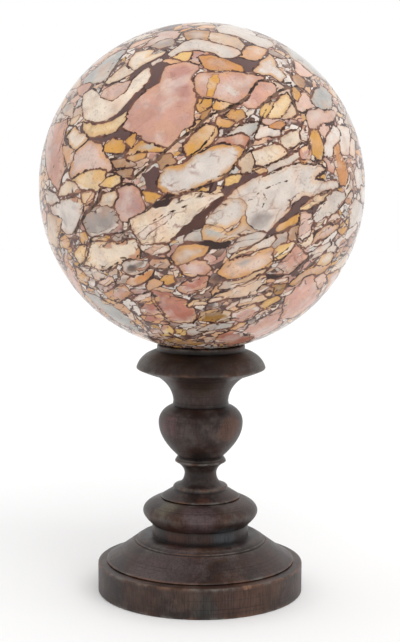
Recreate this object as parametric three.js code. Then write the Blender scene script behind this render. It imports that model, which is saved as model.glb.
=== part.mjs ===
// A polished breccia marble sphere on a turned wooden stand.
// Millimetres, +Z up. The origin is the centre of the stand's flat underside.
// The stand is three turned pieces glued one on another: a base disc, a foot moulding and a stem.
// The sphere lies in a shallow dish in the top of the stem and lifts off.
import * as THREE from "three";

// Marble sphere
const sphereRadius = 100;
const seatClearance = 0.3; // gap between the marble and the dish under it

// Joints between the turned pieces
const seam = 0.3; // gap at each glued joint
const easing = 0.6; // chamfer on an edge that meets a joint or the table

// Base disc
const discRadius = 64.5;
const discWall = 17.8; // straight wall above the lower chamfer
const discCorner = 0.4; // chamfer where the wall turns in to the ledge
const ledgeWidth = 5.2; // what shows of the disc's top round the foot moulding
const ledgeRise = 0.5;

// Foot moulding: skirt, fillet, flat ring, drum and cushion, from the bottom up
const skirtRise = 11.8;
const filletRadius = 40.9;
const filletHeight = 1.1;
const filletStep = 1.1; // how far the skirt's top edge and the ring stand back from the fillet
const ringRise = 2.4;
const ringWidth = 4.2; // rounded outer part of the ring
const drumRadius = 30.3;
const drumHeight = 7.6;
const cushionOverhang = 5.85; // how far the cushion swells out past the drum
const cushionBelow = 8.1; // from the drum's top to the widest line
const cushionAbove = 7.3; // from the widest line to its crown
const crownRise = 1;
const crownWidth = 3.6; // shallow slope round the stem's foot

// Stem foot
const stemFootRadius = 25;
const coneRise = 4.2;
const stepRadius = 17.2; // small rounded step on top of the cone
const stepSetback = 1.2; // how far the step stands back from the cone's top edge
const stepHeight = 2.4;
const stepRounding = 0.9;

// Slender neck and its ring
const neckRadius = 10;
const neckBelow = 7.5; // from the step to the narrowest line
const neckAbove = 6.4; // from the narrowest line to the ring's underside
const ringLip = 2.15; // how far the ring stands out past the end of the neck's flare
const beadRadius = 16.05;
const beadUnder = 1.2; // from the neck's flare to the bead's widest band
const beadBand = 0.5;
const beadOver = 0.8;
const beadGroove = 0.8; // depth of the groove over the bead
const beadFillet = 0.8; // height of the thin fillet over the groove
const urnFootRadius = 13.9;
const urnFootRise = 1.2;

// Urn
const bellyRadius = 26.45;
const bellyBelow = 21.6; // from the crease over the ring to the widest line
const bellyAbove = 11; // from the widest line to the shoulder's inner edge
const throatRadius = 17.2;
const throatFillet = 0.3; // how far the fillet at the throat's foot stands out
const throatFilletHeight = 1.4;
const throatRise = 1; // from that fillet to the narrowest line
const flareRadius = 28;
const flareRise = 16.2;

// Lip and collar
const lipRadius = 40.45;
const lipUnderRise = 4.4; // from the flare's end to the lip's lower edge
const lipEdge = 0.6; // rounded edge of the lip
const lipRise = 8.6; // swelling upper side of the lip
const lipInset = 6.5; // how far the upper side draws in before the cove
const coveRise = 2.4;
const collarRadius = 27.45;
const collarFoot = 0.6; // small fillet round the collar's foot
const collarHeight = 3;
const seatRadius = 25; // edge of the dish in the collar's top

// Fineness of the curves
const flats = 36; // flats round each turned piece
const curveSteps = 5; // straight steps in a curved stretch of a profile
const sphereSplits = 9; // cuts along each edge of the icosahedron

const darkWood = { color: 0x46393a, roughness: 0.42, metalness: 0 };
const breccia = { color: 0xb98a72, roughness: 0.12, metalness: 0 };

// Handles of the curved stretches: [share of the width, share of the rise] for the start and the end.
const ogeeSkirt = [[0.16, 0.09], [0.61, 0.58]];
const roundedRing = [[0.2, 0.6], [0.6, 1]];
const cushionUnderside = [[0.26, 0.2], [1, 0.6]];
const cushionTop = [[0, 0.42], [0.36, 0.72]];
const hollowToNeck = [[0.65, 0.11], [0.95, 0.39]];
const hollowFromNeck = [[0.03, 0.38], [0.41, 0.73]];
const bellyLower = [[0.33, 0.18], [1, 0.54]];
const bellyUpper = [[0, 0.5], [0.41, 0.82]];
const throatFlare = [[0.04, 0.43], [0.4, 0.76]];
const lipUnderside = [[0.34, 0.27], [0.71, 0.64]];
const lipSwell = [[0.12, 0.39], [0.48, 0.77]];
const coveSweep = [[0.35, 0.45], [0.75, 0.85]];

// A turned outline, drawn from the axis at the piece's underside up to the axis at its top.
// Each stretch goes to a radius and rises from where the last one ended.
class TurnedProfile {
  constructor(bottom) {
    this.path = new THREE.Path().moveTo(0, bottom);
  }

  get height() {
    return this.path.currentPoint.y;
  }

  line(radius, rise = 0) {
    this.path.lineTo(radius, this.height + rise);
    return this;
  }

  curve(radius, rise, [leave, arrive]) {
    const { x, y } = this.path.currentPoint;
    const handle = ([across, up]) => [x + across * (radius - x), y + up * rise];
    this.path.bezierCurveTo(...handle(leave), ...handle(arrive), radius, y + rise);
    return this;
  }

  // The hollow left by a ball of this radius, from where the outline stands down to the axis.
  dish(ballRadius) {
    const { x: edge, y: rim } = this.path.currentPoint;
    const centre = rim + Math.sqrt(ballRadius ** 2 - edge ** 2);
    for (let step = 1; step <= curveSteps; step++) {
      const radius = edge * (1 - step / curveSteps);
      this.path.lineTo(radius, centre - Math.sqrt(ballRadius ** 2 - radius ** 2));
    }
    return this;
  }
}

function finished(name, geometry, finish) {
  const mesh = new THREE.Mesh(geometry, new THREE.MeshStandardMaterial(finish));
  mesh.name = name;
  return mesh;
}

function turnedPiece(name, profile) {
  const geometry = new THREE.LatheGeometry(profile.path.getPoints(curveSteps), flats);
  geometry.rotateX(Math.PI / 2);
  return finished(name, geometry, darkWood);
}

function baseDisc(bottom) {
  return new TurnedProfile(bottom)
    .line(discRadius - easing)
    .line(discRadius, easing)
    .line(discRadius, discWall)
    .line(discRadius - discCorner, discCorner)
    .line(discRadius - ledgeWidth, ledgeRise)
    .line(0);
}

function footMoulding(bottom) {
  const skirtRadius = discRadius - ledgeWidth;
  const cushionRadius = drumRadius + cushionOverhang;
  return new TurnedProfile(bottom)
    .line(skirtRadius - easing)
    .line(skirtRadius, easing)
    .curve(filletRadius + filletStep, skirtRise, ogeeSkirt)
    .line(filletRadius)
    .line(filletRadius, filletHeight)
    .line(filletRadius - filletStep)
    .curve(filletRadius - filletStep - ringWidth, ringRise, roundedRing)
    .line(drumRadius)
    .line(drumRadius, drumHeight)
    .curve(cushionRadius, cushionBelow, cushionUnderside)
    .curve(stemFootRadius + crownWidth, cushionAbove, cushionTop)
    .line(stemFootRadius + seam, crownRise)
    .line(0);
}

function stemFoot(stem) {
  return stem
    .line(stemFootRadius - easing)
    .line(stemFootRadius, easing)
    .line(stepRadius + stepSetback, coneRise)
    .line(stepRadius, easing)
    .line(stepRadius, stepHeight - stepRounding)
    .line(stepRadius - stepRounding, stepRounding);
}

function slenderNeck(stem) {
  const groove = beadRadius - beadGroove;
  return stem
    .curve(neckRadius, neckBelow, hollowToNeck)
    .curve(beadRadius - ringLip, neckAbove, hollowFromNeck)
    .line(beadRadius, beadUnder)
    .line(beadRadius, beadBand)
    .line(beadRadius - beadGroove / 2, beadOver)
    .line(groove)
    .line(groove, beadFillet)
    .line(urnFootRadius, urnFootRise);
}

function urn(stem) {
  const filletOut = throatRadius + throatFillet;
  return stem
    .curve(bellyRadius, bellyBelow, bellyLower)
    .curve(filletOut + throatFillet, bellyAbove, bellyUpper)
    .line(filletOut)
    .line(filletOut, throatFilletHeight)
    .line(throatRadius, throatRise)
    .curve(flareRadius, flareRise, throatFlare);
}

function lipAndCollar(stem) {
  return stem
    .curve(lipRadius - lipEdge, lipUnderRise, lipUnderside)
    .line(lipRadius, lipEdge)
    .curve(lipRadius - lipInset, lipRise, lipSwell)
    .curve(collarRadius + collarFoot, coveRise, coveSweep)
    .line(collarRadius, collarFoot)
    .line(collarRadius, collarHeight - easing)
    .line(collarRadius - easing, easing)
    .line(seatRadius)
    .dish(sphereRadius + seatClearance);
}

const disc = baseDisc(0);
const moulding = footMoulding(disc.height + seam);
const stem = [stemFoot, slenderNeck, urn, lipAndCollar].reduce(
  (profile, part) => part(profile),
  new TurnedProfile(moulding.height + seam),
);

// The dish ends at its lowest point, one clearance under the sphere's.
const sphere = finished(
  "marble_sphere",
  new THREE.IcosahedronGeometry(sphereRadius, sphereSplits),
  breccia,
);
sphere.position.z = stem.height + seatClearance + sphereRadius;

const decorativeSphere = new THREE.Group();
decorativeSphere.add(
  turnedPiece("stand_base_disc", disc),
  turnedPiece("stand_foot_moulding", moulding),
  turnedPiece("stand_stem", stem),
  sphere,
);

export default decorativeSphere;
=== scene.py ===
"""A polished breccia marble sphere on a turned dark wood stand, dressed for the studio.

The three turned pieces come off one lathe tree, and the sphere's stone is laid out fragment by fragment.
Sizes are millimetres, and each mesh is turned into metres when it is made.
"""
import logging
import math
from abc import ABC, abstractmethod
from dataclasses import dataclass
from enum import Enum
from typing import ClassVar, Iterator, Mapping, Optional, Sequence, Union

import bpy
import numpy as np
from mathutils import Matrix, Vector


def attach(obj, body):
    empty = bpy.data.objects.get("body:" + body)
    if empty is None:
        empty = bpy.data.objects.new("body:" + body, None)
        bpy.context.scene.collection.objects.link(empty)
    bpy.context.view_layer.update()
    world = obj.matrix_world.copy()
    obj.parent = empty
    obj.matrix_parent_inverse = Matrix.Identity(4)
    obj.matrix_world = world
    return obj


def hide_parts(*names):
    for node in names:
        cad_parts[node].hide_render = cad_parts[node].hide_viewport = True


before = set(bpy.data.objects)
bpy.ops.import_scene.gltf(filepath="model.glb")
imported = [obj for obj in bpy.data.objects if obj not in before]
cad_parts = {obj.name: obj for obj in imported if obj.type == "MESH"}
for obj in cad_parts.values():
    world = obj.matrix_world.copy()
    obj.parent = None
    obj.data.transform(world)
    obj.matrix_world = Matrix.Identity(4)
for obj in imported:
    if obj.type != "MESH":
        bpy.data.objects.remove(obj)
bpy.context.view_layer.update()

BODY = "root"
MM = 0.001
TINY = 1e-12
LAYERS = 10  # of fragments, as many on the ball's mesh as in its material
PICTURE_WIDTH, PICTURE_HEIGHT = 400, 642

Socket = bpy.types.NodeSocket
Feed = Union[Socket, float, int, Sequence[float], str]
Key = Union[int, str]
Point = tuple[float, float]
log = logging.getLogger("decorative_sphere")


def linear(code: int) -> tuple[float, float, float]:
    """Turn a screen colour into the linear colour that a shader reads.

    Args:
        code: The colour as 0xRRGGBB.

    Returns:
        Red, green and blue from 0 to 1.
    """
    parts = ((code >> 16 & 255) / 255, (code >> 8 & 255) / 255, (code & 255) / 255)
    return tuple(c / 12.92 if c <= 0.04045 else ((c + 0.055) / 1.055) ** 2.4 for c in parts)


def unit(vector: np.ndarray) -> np.ndarray:
    """A vector's direction, as a vector of length 1."""
    return vector / np.linalg.norm(vector)


def store(mesh: bpy.types.Mesh, name: str, kind: str, values: np.ndarray) -> None:
    """Write one value for every point of a mesh.

    Args:
        mesh: The mesh.
        name: The attribute's name.
        kind: FLOAT, FLOAT_VECTOR or FLOAT_COLOR.
        values: The values, a row for each point.
    """
    port = {"FLOAT": "value", "FLOAT_VECTOR": "vector", "FLOAT_COLOR": "color"}[kind]
    mesh.attributes.new(name, kind, "POINT").data.foreach_set(port, values.astype(np.float32).ravel())


class Wiring:
    """Short calls that add nodes to one tree and join them."""

    MIXES = {"FLOAT": (2, 0), "VECTOR": (4, 1), "RGBA": (6, 2)}  # first input and output of a mix, by its kind

    def __init__(self, tree: bpy.types.NodeTree) -> None:
        """Start on a tree.

        Args:
            tree: The tree that takes the nodes.
        """
        self.tree = tree

    def feed(self, socket: Socket, value: Feed) -> None:
        """Link a socket to another one, or give it a value.

        Args:
            socket: The input that takes it.
            value: A socket or a plain value.
        """
        if isinstance(value, bpy.types.NodeSocket):
            self.tree.links.new(value, socket)
            return
        if socket.type == "RGBA" and len(value) == 3:
            value = (*value, 1.0)
        socket.default_value = value

    def add(self, kind: str, feeds: Optional[Mapping[Key, Feed]] = None, **settings: object) -> bpy.types.Node:
        """Add a node.

        Args:
            kind: The node's type.
            feeds: What goes into its inputs, by name or number.
            **settings: The node's own properties.

        Returns:
            The new node.
        """
        node = self.tree.nodes.new(kind)
        for name, value in settings.items():
            setattr(node, name, value)
        for key, value in (feeds or {}).items():
            self.feed(node.inputs[key], value)
        return node

    def one(self, kind: str, feeds: Optional[Mapping[Key, Feed]] = None, **settings: object) -> Socket:
        """Add a node and take its first output."""
        return self.add(kind, feeds, **settings).outputs[0]

    def math(self, act: str, *feeds: Feed, clamp: bool = False) -> Socket:
        """Do sums on numbers.

        Args:
            act: The operation.
            *feeds: Its operands.
            clamp: Whether the result is kept from 0 to 1.

        Returns:
            The result.
        """
        return self.one("ShaderNodeMath", dict(enumerate(feeds)), operation=act, use_clamp=clamp)

    def times(self, *feeds: Feed, clamp: bool = False) -> Socket:
        """Multiply two numbers."""
        return self.math("MULTIPLY", *feeds, clamp=clamp)

    def plus(self, *feeds: Feed) -> Socket:
        """Add two numbers."""
        return self.math("ADD", *feeds)

    def less(self, *feeds: Feed) -> Socket:
        """Take the second number from the first."""
        return self.math("SUBTRACT", *feeds)

    def vector(self, act: str, *feeds: Feed) -> Socket:
        """Do sums on vectors.

        Args:
            act: The operation. SCALE takes its factor as the second operand.
            *feeds: Its operands.

        Returns:
            The vector, or the number of an operation that gives one.
        """
        inputs = {3 if act == "SCALE" and at == 1 else at: value for at, value in enumerate(feeds)}
        node = self.add("ShaderNodeVectorMath", inputs, operation=act)
        return node.outputs[1 if act in ("DOT_PRODUCT", "DISTANCE", "LENGTH") else 0]

    def mix(self, share: Feed, first: Feed, second: Feed, kind: str = "RGBA") -> Socket:
        """Mix two colours, or two numbers or vectors.

        Args:
            share: How much of the second one.
            first: The first of them.
            second: The second of them.
            kind: What they are, a key of MIXES.

        Returns:
            What they give.
        """
        port, result = self.MIXES[kind]
        return self.add("ShaderNodeMix", {0: share, port: first, port + 1: second}, data_type=kind).outputs[result]

    def between(self, share: Feed, first: Feed, second: Feed) -> Socket:
        """Mix two numbers by a share of the second one."""
        return self.mix(share, first, second, "FLOAT")

    def span(self, value: Feed, low: Feed, high: Feed, start: Feed = 0.0, end: Feed = 1.0) -> Socket:
        """Map a range smoothly on to another one.

        Args:
            value: The number to map.
            low: What becomes start.
            high: What becomes end.
            start: The result at or below low.
            end: The result at or above high.

        Returns:
            The mapped number.
        """
        feeds = {0: value, 1: low, 2: high, 3: start, 4: end}
        return self.one("ShaderNodeMapRange", feeds, interpolation_type="SMOOTHSTEP")

    def noise(self, where: Feed, size: float, detail: float = 2.0, rough: float = 0.5) -> Socket:
        """Make soft noise.

        Args:
            where: The place it is read at.
            size: The size of its patches in millimetres.
            detail: How many finer octaves it holds.
            rough: How strong they are.

        Returns:
            The noise, about 0.5 in the middle.
        """
        feeds = {"Vector": where, "Scale": 1 / (size * MM), "Detail": detail, "Roughness": rough}
        return self.add("ShaderNodeTexNoise", feeds).outputs["Fac"]

    def stirred(self, where: Feed, size: float, reach: float) -> Socket:
        """Stir coordinates so that a pattern on them bends.

        Args:
            where: The coordinates.
            size: The size of a bend in millimetres.
            reach: How far they move, in millimetres.

        Returns:
            The moved coordinates.
        """
        feeds = {"Vector": where, "Scale": 1 / (size * MM), "Detail": 3.0, "Roughness": 0.6}
        colour = self.add("ShaderNodeTexNoise", feeds).outputs["Color"]
        push = self.vector("SCALE", self.vector("SUBTRACT", colour, (0.5, 0.5, 0.5)), reach * MM)
        return self.vector("ADD", where, push)

    def cells(self, where: Feed, size: float, **settings: str) -> Mapping[str, Socket]:
        """Break a surface up into angular cells.

        Args:
            where: The place they are read at.
            size: The size of a cell in millimetres.
            **settings: The node's own properties.

        Returns:
            The node's outputs.
        """
        return self.add("ShaderNodeTexVoronoi", {"Vector": where, "Scale": 1 / (size * MM)}, **settings).outputs

    def borders(self, where: Feed, size: float) -> Socket:
        """The distance to the nearest border of the cells of a size."""
        return self.cells(where, size, feature="DISTANCE_TO_EDGE")["Distance"]

    def split(self, value: Feed) -> Sequence[Socket]:
        """The three numbers of a vector or a colour."""
        return self.add("ShaderNodeSeparateXYZ", {0: value}).outputs

    def joined(self, feeds: Mapping[int, Feed]) -> Socket:
        """A vector of up to three numbers, by their place in it."""
        return self.one("ShaderNodeCombineXYZ", feeds)

    def tipped(self, where: Feed, angle: float, squeeze: Sequence[float]) -> Socket:
        """Tip coordinates from side to side, then squeeze them.

        Args:
            where: The coordinates.
            angle: How far they tip, in radians.
            squeeze: What each of the three is multiplied by.

        Returns:
            The new coordinates.
        """
        tipped = self.one("ShaderNodeVectorRotate", {"Vector": where, "Angle": angle}, rotation_type="Y_AXIS")
        return self.vector("MULTIPLY", tipped, squeeze)

    def carried(self, name: str) -> Socket:
        """A value that a tree reads from its mesh."""
        return self.one("GeometryNodeInputNamedAttribute", {0: name}, data_type="FLOAT")

    def attribute(self, name: str, port: str = "Fac") -> Socket:
        """Read a value that the mesh carries, in a material.

        Args:
            name: The attribute's name.
            port: Which output is read.

        Returns:
            The value.
        """
        return self.add("ShaderNodeAttribute", attribute_name=name).outputs[port]


def material_sheet(name: str) -> tuple[bpy.types.Material, Wiring, bpy.types.Node, Socket]:
    """Start a material on object coordinates.

    Args:
        name: The material's name.

    Returns:
        The material, its wiring, its surface shader and the coordinates.
    """
    material = bpy.data.materials.new(name)
    material.use_nodes = True
    sheet = Wiring(material.node_tree)
    shader = next(n for n in material.node_tree.nodes if n.type == "BSDF_PRINCIPLED")
    return material, sheet, shader, sheet.add("ShaderNodeTexCoord").outputs["Object"]


# ---------------------------------------------------------------- camera


@dataclass(frozen=True)
class Viewpoint:
    """The place that the photograph was taken from."""

    across: float = -0.75  # to the right of the turning axis
    back: float = 897.6  # in front of it
    height: float = 278.1  # above the floor
    pitch: float = 6.79  # degrees down
    roll: float = 0.28
    focal: float = 1450.0  # in picture points

    SENSOR = 36.0

    def matrix(self) -> Matrix:
        """The camera's place and turn, in millimetres."""
        down = Matrix.Rotation(math.radians(90 - self.pitch), 4, "X")
        turn = Matrix.Rotation(math.radians(self.roll), 4, "Z")
        return Matrix.Translation((self.across, -self.back, self.height)) @ down @ turn

    def on_ball(self, spot: Point, centre: Vector, radius: float) -> Vector:
        """Find what a picture point shows of a ball.

        Args:
            spot: The point, in picture points from the upper left corner.
            centre: The ball's centre.
            radius: The ball's radius.

        Returns:
            The direction from the ball's centre to that place. A point past the ball's edge gives the edge.
        """
        place = self.matrix()
        eye = place.to_translation()
        look = Vector(((spot[0] - PICTURE_WIDTH / 2) / self.focal, (PICTURE_HEIGHT / 2 - spot[1]) / self.focal, -1))
        ray = (place.to_3x3() @ look).normalized()
        nearest = (centre - eye).dot(ray)
        miss = radius**2 - (centre - eye).length_squared + nearest**2
        return (eye + ray * (nearest - math.sqrt(max(miss, 0.0))) - centre).normalized()

    def build(self) -> None:
        """Make the scene's camera."""
        lens = bpy.data.cameras.new("studio_camera")
        lens.sensor_fit = "VERTICAL"
        lens.sensor_height = self.SENSOR
        lens.lens = self.focal * self.SENSOR / PICTURE_HEIGHT
        lens.clip_start, lens.clip_end = 0.01, 50.0
        camera = bpy.data.objects.new("studio_camera", lens)
        bpy.context.scene.collection.objects.link(camera)
        place = self.matrix()
        camera.location = place.to_translation() * MM
        camera.rotation_mode = "QUATERNION"
        camera.rotation_quaternion = place.to_quaternion()
        bpy.context.scene.camera = camera


# ---------------------------------------------------------------- finishes


@dataclass(frozen=True)
class WearAndPaintedLightPatch:
    """A patch laid over the stain: rubbed wear, painted shade or a painted reflection."""

    turn: float  # degrees to the right of the photographed side
    radius: float
    height: float
    reach: float
    colour: int
    strength: float


@dataclass(frozen=True)
class DarkWood:
    """Dark stained hardwood, waxed to a satin sheen."""

    name: str
    patches: tuple[WearAndPaintedLightPatch, ...]
    grain: tuple[float, float, float] = (1.0, 1.0, 0.11)  # the pattern is drawn out upright
    stain: int = 0x281D1A
    red_stain: int = 0x3D261D
    # grey-mauve wax bloom, partly a painted sheen that stands in for the room's reflection
    bloom_and_sheen: int = 0x504541
    worn: int = 0x6E4E3C
    greyed: int = 0x6E6862
    # near-black for dark grain streaks, pores and turning lines, and for painted shade in inner corners
    dirt_and_crease_shade: int = 0x0E0B0A
    gloss: float = 0.32
    relief: float = 0.0002  # in metres

    RINGS = 760.0  # turning lines in a metre of outline

    def make(self) -> bpy.types.Material:
        """Write the material.

        Returns:
            The material.
        """
        material, sheet, shader, place = material_sheet(self.name)
        squeezed = sheet.vector("MULTIPLY", place, self.grain)
        streaks = sheet.noise(squeezed, 1.1, 3.0, 0.6)
        broad = sheet.noise(place, 26.0, 3.0)
        cloud = sheet.noise(place, 9.0, 4.0, 0.6)
        pores = sheet.span(sheet.noise(squeezed, 0.42, 1.0), 0.62, 0.72)
        wear = sheet.attribute("wear")
        hollow = sheet.attribute("hollow")

        colour = sheet.mix(sheet.span(broad, 0.42, 0.66), linear(self.stain), linear(self.red_stain))
        # grey-mauve clouds: wax bloom and painted sheen
        colour = sheet.mix(sheet.span(cloud, 0.42, 0.72, 0.0, 0.75), colour, linear(self.bloom_and_sheen))
        for patch in self.patches:
            colour = self.lay_patch(sheet, place, cloud, colour, patch)
        colour = sheet.mix(sheet.span(streaks, 0.34, 0.58, 0.42, 0.0), colour, linear(self.dirt_and_crease_shade))
        colour = sheet.mix(sheet.span(streaks, 0.55, 0.75, 0.0, 0.2), colour, linear(self.bloom_and_sheen))
        feeds = {"W": sheet.attribute("along"), "Scale": self.RINGS, "Detail": 2.0}
        rings = sheet.add("ShaderNodeTexNoise", feeds, noise_dimensions="1D").outputs["Fac"]
        turned = sheet.times(sheet.span(rings, 0.56, 0.72, 0.0, 0.5), sheet.span(broad, 0.4, 0.56))
        colour = sheet.mix(turned, colour, linear(self.dirt_and_crease_shade))
        older = sheet.span(sheet.noise(place, 17.0, 2.0), 0.44, 0.56)
        edge = sheet.mix(older, linear(self.worn), linear(self.greyed))
        rubbed = sheet.times(wear, sheet.span(cloud, 0.4, 0.62, 0.15, 0.75))
        colour = sheet.mix(rubbed, colour, edge)
        colour = sheet.mix(sheet.times(pores, 0.6), colour, linear(self.dirt_and_crease_shade))
        # painted shade: inner corners and creases are darkened toward near-black
        colour = sheet.mix(sheet.times(hollow, 0.75), colour, linear(self.dirt_and_crease_shade))
        sheet.feed(shader.inputs["Base Color"], colour)

        rough = sheet.span(cloud, 0.3, 0.75, 0.36, 0.52)
        rough = sheet.plus(rough, sheet.times(pores, 0.12))
        sheet.feed(shader.inputs["Roughness"], rough)
        sheet.feed(shader.inputs["Specular IOR Level"], self.gloss)

        relief = sheet.plus(sheet.times(streaks, 0.6), sheet.times(pores, -0.5))
        relief = sheet.plus(relief, sheet.times(rings, 0.6))
        bump = sheet.add("ShaderNodeBump", {"Strength": 0.4, "Distance": self.relief, "Height": relief})
        sheet.feed(shader.inputs["Normal"], bump.outputs[0])
        return material

    def lay_patch(self, sheet: Wiring, place: Socket, cloud: Socket, colour: Socket, patch: WearAndPaintedLightPatch) -> Socket:
        """Lay one patch over the stain: rubbed wear, painted shade or a painted reflection.

        Args:
            sheet: The material's wiring.
            place: The coordinates.
            cloud: Noise that frays the patch.
            colour: The colour so far.
            patch: The patch.

        Returns:
            The colour with the patch.
        """
        turn = math.radians(patch.turn)
        spot = Vector((math.sin(turn), -math.cos(turn), 0)) * patch.radius + Vector((0, 0, patch.height))
        away = sheet.vector("DISTANCE", place, tuple(spot * MM))
        frayed = sheet.math("MULTIPLY_ADD", cloud, -patch.reach * MM, away)
        share = sheet.span(frayed, patch.reach * MM * 0.7, 0.0, 0.0, patch.strength)
        return sheet.mix(share, colour, linear(patch.colour))


# ---------------------------------------------------------------- stone


class Stone(Enum):
    """The kinds of fragment in the breccia, by their own colour."""

    MATRIX = 0x6A5250
    CRACK = 0x3E2C28
    RUST = 0x5E4038
    BRICK = 0xBF7F6F
    ROSE = 0xC9988F
    SALMON = 0xD9A99B
    BLUSH = 0xE6C6BA
    PEACH = 0xE2B592
    ORANGE = 0xD6965F
    OCHRE = 0xE2AC5E
    GOLD = 0xF0CB8A
    STRAW = 0xFBDFB2
    HONEY = 0xAE8448
    TAN = 0xB8957A
    BEIGE = 0xDEC6AE
    CREAM = 0xF3E2CC
    IVORY = 0xFFF2E2
    WHITE = 0xEDE6E1
    SAGE = 0xE1D9D2
    ASH = 0xBFC1C0
    GREY = 0xB3AAA6
    SLATE = 0x6B625E


@dataclass(frozen=True)
class Fragment:
    """One broken piece of stone, drawn as the photograph shows it."""

    stone: Stone
    corners: tuple[float, ...]  # picture points, across and down by turns
    rim: float = 0.0  # how much ochre it takes near its edge
    veins: float = 0.3
    halo: float = 1.0  # width of the dark line round it, or 0 for an edge that melts away

    @property
    def is_matrix(self) -> bool:
        """Whether it is a pool of matrix."""
        return self.stone in (Stone.MATRIX, Stone.CRACK, Stone.RUST)


@dataclass(frozen=True)
class Crack:
    """A dark crack that runs on through the stone."""

    wide: float  # half its width in millimetres
    course: tuple[float, ...]  # picture points, across and down by turns


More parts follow.
